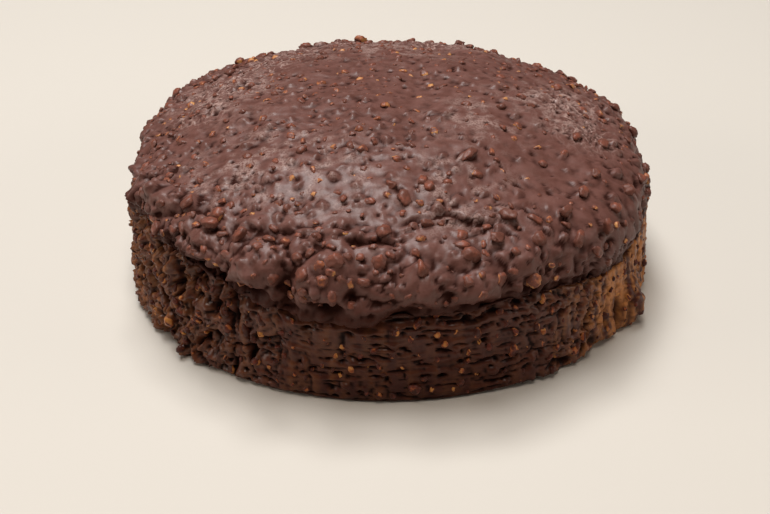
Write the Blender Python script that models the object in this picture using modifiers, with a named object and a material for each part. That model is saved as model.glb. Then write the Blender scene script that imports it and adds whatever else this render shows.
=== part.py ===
"""A round chocolate cake, about 215 mm across and 74 mm high, under a poured glaze full of chopped hazelnuts.

The cake is uncut, so it is one solid: a turned body, made uneven the way the glaze set on it, with the larger
pieces of nut joined into its surface. It stands on its flat underside. +Z is up, the origin is the middle of
the underside, and -Y is the side that a viewer faces. Azimuths are degrees from +X, turning towards +Y.
"""

import math
import random

import bmesh
import bpy
from mathutils import Matrix, Vector, noise

# The body, in metres.
CAKE_HEIGHT = 0.0736
DOME_RADIUS = 0.0815
DOME_DROP = 0.0106
DOME_POWER = 2.88
LIP_RADIUS = 0.1067
LIP_HEIGHT = 0.0400
SHOULDER_REACH = 0.0155
BAND_HEIGHT = 0.0045
LIP_OVERHANG = 0.0016
SIDE_RADIUS = 0.1053
FOOT_RADIUS = 0.1070
FOOT_HEIGHT = 0.0035
FOOT_EDGE = 0.1048
TURN_STEPS = 80

# Where the glaze ends over the side: (azimuth, height above the lip's mean height in millimetres).
LIP_LINE = (
    (20, 1.0), (60, 2.0), (100, 1.0), (140, 3.5), (180, 7.5), (207, 8.5), (220, 7.0), (232, 5.0),
    (243, 2.0), (254, -1.5), (264, -1.0), (276, 1.0), (290, 1.5), (297, 3.0), (306, 0.0), (316, -3.5),
    (327, -5.5), (337, -2.5), (352, 0.0),
)
LIP_SOFTNESS = 0.013

# How far the side stands out at each azimuth: (azimuth, millimetres).
OUTLINE = (
    (0, 0.4), (40, -0.4), (80, 0.3), (120, -0.6), (160, -0.8), (185, -1.6), (204, -2.0), (220, -0.4),
    (238, 1.2), (256, 0.5), (275, 0.0), (300, 0.6), (325, 0.2),
)

# Thick runs of glaze and lumps that stand out of the edge and the side, in millimetres: where each one's
# middle is, its half width and half height, and how far it stands out.
RUNS = (
    {"azimuth": 243, "height": 46.0, "width": 12.0, "tall": 9.0, "out": 2.2},
    {"azimuth": 259, "height": 45.0, "width": 12.0, "tall": 8.0, "out": 2.0},
    {"azimuth": 279, "height": 46.0, "width": 16.0, "tall": 7.0, "out": 1.0},
    {"azimuth": 291, "height": 47.0, "width": 9.0, "tall": 7.0, "out": 1.4},
    {"azimuth": 212, "height": 50.0, "width": 14.0, "tall": 8.0, "out": 1.2},
    {"azimuth": 152, "height": 47.0, "width": 13.0, "tall": 8.0, "out": 1.5},
    {"azimuth": 96, "height": 46.0, "width": 15.0, "tall": 8.0, "out": 1.4},
    {"azimuth": 38, "height": 46.0, "width": 12.0, "tall": 8.0, "out": 1.6},
    {"azimuth": 331, "height": 9.0, "width": 9.0, "tall": 8.0, "out": 4.2},
    {"azimuth": 318, "height": 3.0, "width": 10.0, "tall": 4.0, "out": 1.8},
    {"azimuth": 68, "height": 5.0, "width": 14.0, "tall": 5.0, "out": 1.6},
    {"azimuth": 170, "height": 4.0, "width": 12.0, "tall": 5.0, "out": 1.4},
)

# Waves where the glaze folded as it set, on the part of the top near the viewer: azimuths from and to,
# distance from the axis, and the drop towards the edge.
FOLDS = (
    {"from": 266, "to": 302, "radius": 84.5, "bow": 9.0, "drop": 1.3},
    {"from": 246, "to": 266, "radius": 91.0, "bow": 2.0, "drop": 1.2},
    {"from": 296, "to": 310, "radius": 84.5, "bow": 4.0, "drop": 0.8},
)

# Broad unevenness of the whole surface, as (size of one wave, height), in millimetres.
SWELLS = ((34.0, 0.9), (13.0, 0.6))

# Pieces of nut that stand out most: (azimuth, distance from the axis, length, width), in millimetres.
LARGE_NUTS = (
    (260.0, 100.1, 8.0, 7.0), (239.2, 98.4, 6.5, 5.5), (293.7, 95.8, 8.0, 5.5), (301.5, 56.5, 9.5, 4.5),
    (286.7, 89.8, 6.5, 6.0), (304.7, 92.3, 7.5, 5.5), (286.8, 99.5, 7.0, 6.0), (299.0, 88.4, 7.5, 5.0),
    (274.6, 73.7, 7.0, 5.0), (281.8, 64.5, 6.5, 5.0), (254.2, 103.4, 6.5, 6.0), (276.6, 102.0, 7.0, 6.0),
    (268.5, 99.0, 6.5, 6.0), (230.5, 99.6, 6.5, 5.5), (312.7, 94.5, 6.0, 5.0), (311.8, 102.7, 6.5, 5.5),
    (319.5, 102.5, 6.0, 5.5), (327.2, 101.3, 6.0, 5.0), (335.5, 101.9, 6.5, 5.5), (344.4, 104.5, 6.0, 5.5),
    (5.6, 103.0, 6.0, 5.5), (17.1, 101.0, 6.0, 5.5), (32.8, 96.5, 6.5, 5.5), (56.1, 87.0, 6.5, 6.0),
    (61.4, 85.5, 6.0, 5.5), (68.2, 88.5, 6.5, 5.5), (91.2, 85.4, 6.5, 6.0), (109.9, 87.1, 6.0, 5.5),
    (115.6, 87.5, 7.0, 6.0), (144.9, 86.0, 6.0, 5.5), (165.5, 99.0, 6.0, 5.5), (199.1, 102.5, 6.0, 5.0),
)

# The rest of the nuts that are large enough to be felt, spread by rule.
TOP_NUTS = 124
TOP_CROWDING = 0.43
SIDE_NUTS = 50
SIDE_LOW = 0.0065
SIDE_HIGH = 0.0300
NUT_LENGTH = (0.0056, 0.0076)
NUT_SHAPES = 6
NUT_SINK = 0.40
NUT_SPACING = 0.0062
GOLDEN_ANGLE = 137.508
SIDE_ANGLE = 205.1425
SIDE_CLIMB = 0.754878

GLAZE_COLOUR = (0.117, 0.052, 0.040, 1.0)
GLAZE_ROUGHNESS = 0.36


def clear_scene():
    for thing in list(bpy.data.objects):
        bpy.data.objects.remove(thing, do_unlink=True)


def ease(x):
    x = min(1.0, max(0.0, x))
    return x * x * (3.0 - 2.0 * x)


def round_the_cake(azimuth, marks):
    """The value at this azimuth, eased from each mark to the next one round the circle."""
    azimuth = azimuth % 360.0
    places = [*marks, (marks[0][0] + 360.0, marks[0][1])]
    if azimuth < marks[0][0]:
        azimuth += 360.0
    for (a, low), (b, high) in zip(places, places[1:]):
        if a <= azimuth <= b:
            return low + (high - low) * ease((azimuth - a) / (b - a))
    return marks[0][1]


def apart(a, b):
    """Degrees from azimuth b to azimuth a, between -180 and 180."""
    return (a - b + 180.0) % 360.0 - 180.0


def bezier(start, first, second, end, t):
    s = 1.0 - t
    return tuple(
        s**3 * p + 3 * s * s * t * q + 3 * s * t * t * u + t**3 * v
        for p, q, u, v in zip(start, first, second, end)
    )


def cake_outline():
    """Half of the cake's section, as (radius, height), from the middle of the top down to the underside's edge."""
    points = []
    for share in (0.0, 0.16, 0.32, 0.47, 0.61, 0.74, 0.88, 1.0):
        radius = DOME_RADIUS * share
        points.append((radius, CAKE_HEIGHT - DOME_DROP * share**DOME_POWER))
    slope = math.atan(DOME_DROP * DOME_POWER / DOME_RADIUS)
    start = points[-1]
    first = (start[0] + SHOULDER_REACH * math.cos(slope), start[1] - SHOULDER_REACH * math.sin(slope))
    end = (LIP_RADIUS, LIP_HEIGHT)
    second = (LIP_RADIUS, LIP_HEIGHT + SHOULDER_REACH)
    points += [bezier(start, first, second, end, t) for t in (0.2, 0.38, 0.54, 0.68, 0.82, 1.0)]
    under_lip = LIP_HEIGHT - BAND_HEIGHT
    points += [
        (LIP_RADIUS - 0.0001, under_lip),
        (LIP_RADIUS - LIP_OVERHANG, under_lip - 0.0017),
        (SIDE_RADIUS, 0.0280),
        (SIDE_RADIUS + 0.0002, 0.0220),
        (SIDE_RADIUS + 0.0004, 0.0155),
        (SIDE_RADIUS + 0.0008, 0.0095),
        (FOOT_RADIUS - 0.0002, 0.0060),
        (FOOT_RADIUS, FOOT_HEIGHT),
        (FOOT_RADIUS - 0.0006, 0.0013),
        (FOOT_EDGE, 0.0),
    ]
    return points


def along(outline, distance):
    """The point of the outline at this distance from its start."""
    for (r0, z0), (r1, z1) in zip(outline, outline[1:]):
        step = math.hypot(r1 - r0, z1 - z0)
        if distance <= step:
            share = distance / step
            return r0 + (r1 - r0) * share, z0 + (z1 - z0) * share
        distance -= step
    return outline[-1]


def distance_to(outline, reached):
    """How far along the outline the first point lies for which reached(radius, height) holds."""
    distance = 0.0
    while not reached(*along(outline, distance)):
        distance += 0.0004
    return distance


def glaze_lift(azimuth, radius, height):
    """How far the glaze stands out of the plain turned shape here, in metres."""
    lift = 0.0
    angle = math.radians(azimuth)
    for run in RUNS:
        if radius < 0.080:
            break
        sideways = math.radians(apart(azimuth, run["azimuth"])) * LIP_RADIUS * 1000.0 / run["width"]
        down = (height * 1000.0 - run["height"]) / run["tall"]
        lift += run["out"] * math.exp(-(sideways**2) - down**2)
    if height > 0.045:
        for fold in FOLDS:
            middle = (fold["from"] + fold["to"]) / 2.0
            half = (fold["to"] - fold["from"]) / 2.0
            off = apart(azimuth, middle) / half
            if abs(off) > 1.0:
                continue
            crest = fold["radius"] + fold["bow"] * off * off
            beyond = radius * 1000.0 - crest
            fade = 1.0 - off * off
            if beyond < 0.0:
                lift += fold["drop"] * fade * math.exp(beyond / 7.0) * 0.6
            else:
                lift -= fold["drop"] * fade * math.exp(-beyond / 6.0) * 0.6
    place = Vector((radius * math.cos(angle), radius * math.sin(angle), height)) * 1000.0
    for size, tall in SWELLS:
        lift += tall * noise.noise(place / size + Vector((3.1, 7.7, size)))
    return lift / 1000.0


def set_glaze(azimuth, radius, height, slope):
    """Where a point of the turned shape ends up on the glazed cake. The slope is its (out, up) normal."""
    if height < 1e-6:
        grown = round_the_cake(azimuth, OUTLINE) / 1000.0 * (radius / LIP_RADIUS) ** 4
        return radius + grown, 0.0
    on_edge = (radius / LIP_RADIUS) ** 4
    near_lip = math.exp(-(((height - LIP_HEIGHT) / LIP_SOFTNESS) ** 2)) * ease((radius - 0.085) / 0.015)
    lift = glaze_lift(azimuth, radius, height) * ease(height / 0.004)
    out = radius + round_the_cake(azimuth, OUTLINE) / 1000.0 * on_edge + lift * slope[0]
    up = height + round_the_cake(azimuth, LIP_LINE) / 1000.0 * near_lip + lift * slope[1]
    return out, up


def normal_at(outline, distance):
    r0, z0 = along(outline, max(0.0, distance - 0.001))
    r1, z1 = along(outline, distance + 0.001)
    length = math.hypot(r1 - r0, z1 - z0)
    return (z0 - z1) / length, (r1 - r0) / length


def surface_point(outline, azimuth, distance):
    """A point of the glazed surface, by azimuth and distance along the outline."""
    radius, height = along(outline, distance)
    out, up = set_glaze(azimuth, radius, height, normal_at(outline, distance))
    angle = math.radians(azimuth)
    return Vector((out * math.cos(angle), out * math.sin(angle), up))


def surface_normal(outline, azimuth, distance):
    across = surface_point(outline, azimuth + 1.0, distance) - surface_point(outline, azimuth - 1.0, distance)
    down = surface_point(outline, azimuth, distance + 0.0015) - surface_point(outline, azimuth, distance - 0.0015)
    return down.cross(across).normalized()


def turned_body(outline):
    """The outline turned once round the axis, as a closed mesh with one flat face underneath."""
    bm = bmesh.new()
    points = [bm.verts.new((radius, 0.0, height)) for radius, height in outline]
    points.append(bm.verts.new((0.0, 0.0, 0.0)))
    for a, b in zip(points, points[1:]):
        bm.edges.new((a, b))
    mesh = bpy.data.meshes.new("cake_section")
    bm.to_mesh(mesh)
    bm.free()
    section = bpy.data.objects.new("cake_section", mesh)
    bpy.context.scene.collection.objects.link(section)
    turn = section.modifiers.new("turn", "SCREW")
    turn.steps = TURN_STEPS
    turn.render_steps = TURN_STEPS
    turn.use_merge_vertices = True
    turn.merge_threshold = 0.0001
    graph = bpy.context.evaluated_depsgraph_get()
    turned = bpy.data.meshes.new_from_object(section.evaluated_get(graph))
    bpy.data.objects.remove(section, do_unlink=True)
    bm = bmesh.new()
    bm.from_mesh(turned)
    bmesh.ops.dissolve_faces(bm, faces=[f for f in bm.faces if all(v.co.z < 1e-6 for v in f.verts)])
    bm.to_mesh(turned)
    bm.free()
    return turned


def pour_glaze(mesh, outline):
    """Moves each point of the turned body to where the glaze set."""
    slopes = {}
    distance = 0.0
    for (r0, z0), (r1, z1) in zip(outline, outline[1:]):
        slopes[(round(r0, 5), round(z0, 5))] = normal_at(outline, distance)
        distance += math.hypot(r1 - r0, z1 - z0)
    for point in mesh.vertices:
        radius = math.hypot(point.co.x, point.co.y)
        if radius < 1e-6 and point.co.z < 1e-6:
            continue
        azimuth = math.degrees(math.atan2(point.co.y, point.co.x))
        slope = slopes.get((round(radius, 5), round(point.co.z, 5)), (1.0, 0.0))
        out, up = set_glaze(azimuth, radius, point.co.z, slope)
        angle = math.radians(azimuth)
        point.co = (out * math.cos(angle), out * math.sin(angle), up)


def nut_shape(number):
    """A chopped piece of nut, 1 m long, with flat broken sides."""
    bm = bmesh.new()
    bmesh.ops.create_icosphere(bm, subdivisions=1, radius=0.5)
    for point in bm.verts:
        uneven = noise.noise(point.co * 3.0 + Vector((number * 5.3, 1.7, 0.4)))
        point.co *= 1.0 + 0.32 * uneven
    mesh = bpy.data.meshes.new(f"nut_shape_{number}")
    bm.to_mesh(mesh)
    bm.free()
    return mesh


def nut_places(outline):
    """Every large nut, largest first, as (azimuth, distance along the outline, length, width)."""
    lip = distance_to(outline, lambda radius, height: height <= LIP_HEIGHT)
    places = []
    for azimuth, radius, length, width in LARGE_NUTS:
        distance = distance_to(outline, lambda r, z, wanted=radius: r * 1000.0 >= wanted)
        places.append((azimuth, distance, length / 1000.0, width / 1000.0))
    rng = random.Random(11)
    for k in range(TOP_NUTS):
        share = (k + 0.7) / TOP_NUTS
        azimuth = k * GOLDEN_ANGLE + rng.uniform(-5.0, 5.0)
        distance = (lip - 0.003) * share**TOP_CROWDING + rng.uniform(-0.002, 0.002)
        length = rng.uniform(*NUT_LENGTH)
        places.append((azimuth % 360.0, distance, length, length * rng.uniform(0.7, 0.95)))
    low = distance_to(outline, lambda radius, height: height <= SIDE_HIGH)
    high = distance_to(outline, lambda radius, height: height <= SIDE_LOW)
    for k in range(SIDE_NUTS):
        azimuth = k * SIDE_ANGLE + 40.0
        distance = low + (high - low) * ((k * SIDE_CLIMB + 0.31) % 1.0)
        length = rng.uniform(*NUT_LENGTH) * 0.85
        places.append((azimuth % 360.0, distance, length, length * rng.uniform(0.7, 0.95)))
    return places


def place_nuts(outline):
    """Sinks the nuts into the glaze, each turned its own way, in a collection of their own."""
    nuts = bpy.data.collections.new("nuts")
    bpy.context.scene.collection.children.link(nuts)
    shapes = [nut_shape(number) for number in range(NUT_SHAPES)]
    rng = random.Random(5)
    taken = []
    for azimuth, distance, length, width in nut_places(outline):
        place = surface_point(outline, azimuth, distance)
        if any((place - other).length < NUT_SPACING for other in taken):
            continue
        taken.append(place)
        thick = width * rng.uniform(0.85, 1.0)
        normal = surface_normal(outline, azimuth, distance)
        middle = place - normal * thick * (NUT_SINK - 0.30)
        turn = normal.to_track_quat("Z", "Y").to_matrix().to_4x4()
        spin = Matrix.Rotation(rng.uniform(0.0, math.tau), 4, "Z")
        tip = Matrix.Rotation(rng.uniform(-0.3, 0.3), 4, "X")
        size = Matrix.Diagonal((length, width, thick, 1.0))
        nut = bpy.data.objects.new(f"nut_{len(taken):03d}", shapes[len(taken) % NUT_SHAPES])
        nut.matrix_world = Matrix.Translation(middle) @ turn @ spin @ tip @ size
        nuts.objects.link(nut)
    return nuts


def join_nuts(cake, nuts):
    """Joins every nut to the cake in one Boolean union, and removes the loose nuts."""
    join = cake.modifiers.new("join_nuts", "BOOLEAN")
    join.operation = "UNION"
    join.operand_type = "COLLECTION"
    join.collection = nuts
    join.solver = "EXACT"
    graph = bpy.context.evaluated_depsgraph_get()
    joined = bpy.data.meshes.new_from_object(cake.evaluated_get(graph))
    cake.modifiers.remove(join)
    bare = cake.data
    cake.data = joined
    bpy.data.meshes.remove(bare)
    for nut in list(nuts.objects):
        bpy.data.objects.remove(nut, do_unlink=True)
    bpy.data.collections.remove(nuts)


def glaze_material():
    material = bpy.data.materials.new("nut_glaze")
    material.use_nodes = True
    shader = material.node_tree.nodes["Principled BSDF"]
    shader.inputs["Base Color"].default_value = GLAZE_COLOUR
    shader.inputs["Roughness"].default_value = GLAZE_ROUGHNESS
    shader.inputs["Metallic"].default_value = 0.0
    material.diffuse_color = GLAZE_COLOUR
    return material


def main():
    clear_scene()
    parts = bpy.data.collections.new("cake")
    bpy.context.scene.collection.children.link(parts)
    outline = cake_outline()
    mesh = turned_body(outline)
    pour_glaze(mesh, outline)
    cake = bpy.data.objects.new("glazed_cake", mesh)
    cake.data.name = "glazed_cake"
    parts.objects.link(cake)
    join_nuts(cake, place_nuts(outline))
    cake.data.name = "glazed_cake"
    cake.data.materials.clear()
    cake.data.materials.append(glaze_material())
    for face in cake.data.polygons:
        face.material_index = 0
    cake.data.shade_smooth()
    cake.data.set_sharp_from_angle(angle=math.radians(50.0))


main()
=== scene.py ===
# %% [markdown]
# # A round chocolate cake under a glaze full of chopped hazelnuts
# The cake was poured over with warm glaze, which ran over the top, rolled down over the rim and set there
# in a thick wavy edge. The side below it was spread with a palette knife. Chopped nuts are stirred into the
# glaze: most are coated, some break through. This lesson builds the two coats as fine meshes, raises every
# coated nut out of them, adds the bare bits of nut with Geometry Nodes, and then makes the chocolate itself
# with nodes.

# %% Load the frame that everything is built around
import math
import random

import bmesh
import bpy
import numpy as np
from mathutils import Matrix, Vector, kdtree, noise


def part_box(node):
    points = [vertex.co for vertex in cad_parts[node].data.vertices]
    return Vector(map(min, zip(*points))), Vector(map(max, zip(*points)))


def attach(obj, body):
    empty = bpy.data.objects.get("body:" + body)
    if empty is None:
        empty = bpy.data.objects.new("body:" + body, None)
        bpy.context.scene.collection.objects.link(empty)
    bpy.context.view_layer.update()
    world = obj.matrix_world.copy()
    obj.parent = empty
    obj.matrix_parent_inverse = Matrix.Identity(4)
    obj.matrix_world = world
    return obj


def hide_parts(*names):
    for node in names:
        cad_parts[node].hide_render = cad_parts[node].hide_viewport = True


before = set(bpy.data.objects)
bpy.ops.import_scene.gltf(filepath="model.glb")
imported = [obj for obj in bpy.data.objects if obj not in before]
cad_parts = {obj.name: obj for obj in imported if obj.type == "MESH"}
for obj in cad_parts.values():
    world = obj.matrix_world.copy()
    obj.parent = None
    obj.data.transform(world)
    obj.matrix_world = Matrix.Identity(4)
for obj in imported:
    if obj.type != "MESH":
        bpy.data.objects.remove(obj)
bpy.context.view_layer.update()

# Each random draw has a seed of its own, so the cake is the same at every run.
SEEDS = {"large": 11, "top": 3, "side": 4, "lobes": 5, "top lie": 21, "side lie": 22, "holes": 23,
         "large shapes": 17, "small shapes": 18, "tips": 31}
cake_low, cake_high = (np.array(corner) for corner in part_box("glazed_cake"))
print("cake node, mm:", np.round((cake_high - cake_low) * 1000.0, 1))

# %% [markdown]
# ## Camera
# A camera is placed first, so that each later step can be judged from where the cake is seen. It looks down
# at the cake by 31 degrees from half a metre away, with a lens a little longer than normal.

# %% Camera
CAMERA_PLACE = (0.0002, -0.4858, 0.2914)
CAMERA_RIGHT = Vector((0.99998, 0.00437, 0.00396))
CAMERA_UP = Vector((-0.00565, 0.51769, 0.85555))
CAMERA_LENS = 61.4


def add_camera():
    camera = bpy.data.objects.new("camera", bpy.data.cameras.new("camera"))
    right = CAMERA_RIGHT.normalized()
    back = right.cross(CAMERA_UP).normalized()
    up = back.cross(right)
    turn = Matrix((right, up, back)).transposed().to_4x4()
    camera.matrix_world = Matrix.Translation(CAMERA_PLACE) @ turn
    camera.data.lens = CAMERA_LENS
    camera.data.sensor_width = 36.0
    camera.data.clip_start = 0.01
    bpy.context.scene.collection.objects.link(camera)
    bpy.context.scene.camera = camera
    return camera


camera = add_camera()
print("camera pitch, degrees:", round(90.0 - math.degrees(camera.matrix_world.to_euler().x), 1))

# %% [markdown]
# ## The cake's section
# A turned body is known by half of its section. The top is a low dome, then a soft shoulder, and the poured
# glaze ends in a rounded nose that hangs over the side. The side coat starts behind that nose and runs down
# to a small bead at the foot. Both lines are laid out in metres and measured along their length, so that a
# place on the cake is given by an azimuth and a distance along the line.

# %% Sizes of the section
CAKE_HEIGHT = 0.0736
DOME_RADIUS = 0.0815
DOME_DROP = 0.0106
DOME_POWER = 2.88
LIP_RADIUS = 0.1067
LIP_HEIGHT = 0.0400
SHOULDER_REACH = 0.0155
BAND_HEIGHT = 0.0045
SIDE_RADIUS = 0.1053
FOOT_RADIUS = 0.1070
FOOT_HEIGHT = 0.0035
FOOT_EDGE = 0.1048


def bezier(start, first, second, end, t):
    s = 1.0 - t
    return [s**3 * a + 3 * s * s * t * b + 3 * s * t * t * c + t**3 * d
            for a, b, c, d in zip(start, first, second, end)]


def measured(points):
    """A line of (radius, height) points with its distances and its outward slope."""
    radius, height = np.array(points).T
    distance = np.concatenate([[0.0], np.cumsum(np.hypot(np.diff(radius), np.diff(height)))])
    along_radius = np.gradient(radius, distance)
    along_height = np.gradient(height, distance)
    length = np.hypot(along_radius, along_height)
    return {"distance": distance, "radius": radius, "height": height,
            "out": -along_height / length, "up": along_radius / length}


def softened(points, rounds=3):
    """Chaikin's corner cutting: each round replaces a corner by two points near it."""
    for _ in range(rounds):
        cut = [points[0]]
        for (r0, z0), (r1, z1) in zip(points, points[1:]):
            cut.append((0.75 * r0 + 0.25 * r1, 0.75 * z0 + 0.25 * z1))
            cut.append((0.25 * r0 + 0.75 * r1, 0.25 * z0 + 0.75 * z1))
        points = [*cut, points[-1]]
    return points


def top_section():
    line = [(DOME_RADIUS * t, CAKE_HEIGHT - DOME_DROP * t**DOME_POWER) for t in np.linspace(0.0, 1.0, 80)]
    slope = math.atan(DOME_DROP * DOME_POWER / DOME_RADIUS)
    start = line[-1]
    first = (start[0] + SHOULDER_REACH * math.cos(slope), start[1] - SHOULDER_REACH * math.sin(slope))
    second = (LIP_RADIUS, LIP_HEIGHT + SHOULDER_REACH)
    line += [bezier(start, first, second, (LIP_RADIUS, LIP_HEIGHT), t) for t in np.linspace(0.02, 1.0, 60)]
    under = LIP_HEIGHT - BAND_HEIGHT
    nose = [(LIP_RADIUS, LIP_HEIGHT - 0.0004), (LIP_RADIUS, under + 0.0004),
            (LIP_RADIUS - 0.0004, under - 0.0007),
            (LIP_RADIUS - 0.0024, under - 0.0006), (LIP_RADIUS - 0.0046, under + 0.0010)]
    return measured(line + softened(nose))


def side_section():
    start = LIP_HEIGHT + 0.0005
    line = [(SIDE_RADIUS - 0.0035, start), (SIDE_RADIUS - 0.0012, start - 0.0020),
            (SIDE_RADIUS, start - 0.0052),
            (SIDE_RADIUS, 0.0280), (SIDE_RADIUS + 0.0002, 0.0220), (SIDE_RADIUS + 0.0004, 0.0155),
            (SIDE_RADIUS + 0.0008, 0.0095), (FOOT_RADIUS - 0.0002, 0.0060), (FOOT_RADIUS, FOOT_HEIGHT),
            (FOOT_RADIUS - 0.0006, 0.0010), (FOOT_EDGE, 0.0)]
    return measured(softened(line))


TOP = top_section()
SIDE = side_section()
print("length of the top's line, mm:", round(TOP["distance"][-1] * 1000.0, 1))
print("length of the side's line, mm:", round(SIDE["distance"][-1] * 1000.0, 1))

# %% [markdown]
# ## How the glaze set
# No poured cake is round. The edge of the glaze hangs lower in some places than in others, it gathers in
# thick rounded runs, and it folds where it stopped flowing. Each of these is a short table of where it is
# and how big it is, and one function turns the tables into a shift of the surface. The rules and the tables
# are the CAD solid's, so the fine surface lies on it. Only CRAGGY, how rough the side is at each azimuth,
# is new.

# %% Where the edge hangs, where the side stands out, and the thick runs
LIP_LINE = (
    (20, 1.0), (60, 2.0), (100, 1.0), (140, 3.5), (180, 7.5), (207, 8.5), (220, 7.0), (232, 5.0),
    (243, 2.0), (254, -1.5), (264, -1.0), (276, 1.0), (290, 1.5), (297, 3.0), (306, 0.0), (316, -3.5),
    (327, -5.5), (337, -2.5), (352, 0.0),
)
LIP_SOFTNESS = 0.013
OUTLINE = (
    (0, 0.4), (40, -0.4), (80, 0.3), (120, -0.6), (160, -0.8), (185, -1.6), (204, -2.0), (220, -0.4),
    (238, 1.2), (256, 0.5), (275, 0.0), (300, 0.6), (325, 0.2),
)
# Azimuth in degrees, then height, width, how tall and how far out, in millimetres.
RUNS = (
    (243, 46.0, 12.0, 9.0, 2.2), (259, 45.0, 12.0, 8.0, 2.0), (279, 46.0, 16.0, 7.0, 1.0),
    (291, 47.0, 9.0, 7.0, 1.4), (212, 50.0, 14.0, 8.0, 1.2), (152, 47.0, 13.0, 8.0, 1.5),
    (96, 46.0, 15.0, 8.0, 1.4), (38, 46.0, 12.0, 8.0, 1.6), (331, 9.0, 9.0, 8.0, 4.2),
    (318, 3.0, 10.0, 4.0, 1.8), (68, 5.0, 14.0, 5.0, 1.6), (170, 4.0, 12.0, 5.0, 1.4),
)
# From and to in degrees, then the radius, how much farther out the ends lie, and the drop.
FOLDS = (
    (266, 302, 84.5, 9.0, 1.3), (246, 266, 91.0, 2.0, 1.2), (296, 310, 84.5, 4.0, 0.8),
)
SWELLS = ((34.0, 0.9), (13.0, 0.6))
CRAGGY = (
    (0, 0.30), (60, 0.28), (120, 0.28), (160, 0.55), (185, 1.0), (228, 1.0), (242, 0.45), (256, 0.18),
    (285, 0.10), (302, 0.22), (314, 0.50), (322, 0.22), (345, 0.16),
)


def ease(x):
    x = np.clip(x, 0.0, 1.0)
    return x * x * (3.0 - 2.0 * x)


def round_the_cake(azimuth, marks):
    """The value at each azimuth, eased from each mark to the next one round the circle."""
    places = np.array([*marks, (marks[0][0] + 360.0, marks[0][1])])
    azimuth = (azimuth - places[0, 0]) % 360.0 + places[0, 0]
    k = np.clip(np.searchsorted(places[:, 0], azimuth, side="right") - 1, 0, len(places) - 2)
    share = (azimuth - places[k, 0]) / (places[k + 1, 0] - places[k, 0])
    return places[k, 1] + (places[k + 1, 1] - places[k, 1]) * ease(share)


def apart(a, b):
    return (a - b + 180.0) % 360.0 - 180.0


def from_lump(azimuth, height, lump):
    """How far each point is from a lump's middle, sideways and down, as shares of the lump's size."""
    middle, level, width, tall, _ = lump
    return np.radians(apart(azimuth, middle)) * LIP_RADIUS * 1000.0 / width, (height - level) / tall


def bumps(points, size, shift=(0.0, 0.0, 0.0)):
    """Smooth noise at each point (in millimetres), with waves of this size, or of one size for each axis."""
    return np.array([noise.noise(p) for p in (points / np.array(size) + np.array(shift)).tolist()])


def wander(points, size, *shifts):
    """A drift of each point, one axis for each shift, that keeps what is built on it from looking ruled."""
    return np.stack([bumps(points, size, shift) for shift in shifts], axis=1)


# %% One function for the shift of the surface
def glaze_lift(azimuth, radius, height):
    """How far the glaze stands out of the plain turned shape, in metres."""
    lift = np.zeros(len(azimuth))
    for run in RUNS:
        sideways, down = from_lump(azimuth, height * 1000.0, run)
        lift += np.where(radius < 0.080, 0.0, run[4] * np.exp(-(sideways**2) - down**2))
    for start, end, crest, bow, drop in FOLDS:
        off = apart(azimuth, (start + end) / 2.0) / ((end - start) / 2.0)
        beyond = radius * 1000.0 - crest - bow * off * off
        fade = np.where((np.abs(off) < 1.0) & (height > 0.045), 1.0 - off * off, 0.0)
        rise = np.exp(np.minimum(beyond, 0.0) / 7.0)
        fall = np.exp(-np.maximum(beyond, 0.0) / 6.0)
        lift += drop * fade * 0.6 * np.where(beyond < 0.0, rise, -fall)
    angle = np.radians(azimuth)
    place = np.stack([radius * np.cos(angle), radius * np.sin(angle), height], axis=1) * 1000.0
    for size, tall in SWELLS:
        lift += tall * bumps(place, size, (3.1, 7.7, size))
    return lift / 1000.0


def on_cake(section, azimuth, distance):
    """Points of the glazed surface, by azimuth and distance along a section."""
    radius, height, out, up = (np.interp(distance, section["distance"], section[name])
                               for name in ("radius", "height", "out", "up"))
    near_lip = np.exp(-(((height - LIP_HEIGHT) / LIP_SOFTNESS) ** 2)) * ease((radius - 0.085) / 0.015)
    lift = glaze_lift(azimuth, radius, height) * ease(height / 0.004)
    grown = round_the_cake(azimuth, OUTLINE) / 1000.0 * (radius / LIP_RADIUS) ** 4
    far = radius + grown + lift * out
    high = height + round_the_cake(azimuth, LIP_LINE) / 1000.0 * near_lip + lift * up
    angle = np.radians(azimuth)
    return np.stack([far * np.cos(angle), far * np.sin(angle), np.maximum(high, 0.0)], axis=1)


# %% [markdown]
# ## Where the nuts are
# The largest pieces of nut have places of their own, the rest are strewn. A strewing rule that only draws
# random places leaves clumps and holes, so each new nut is kept only if it lies far enough from those
# before it. Nuts that run with the glaze gather at the rim, so they may lie closer together there.

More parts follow.
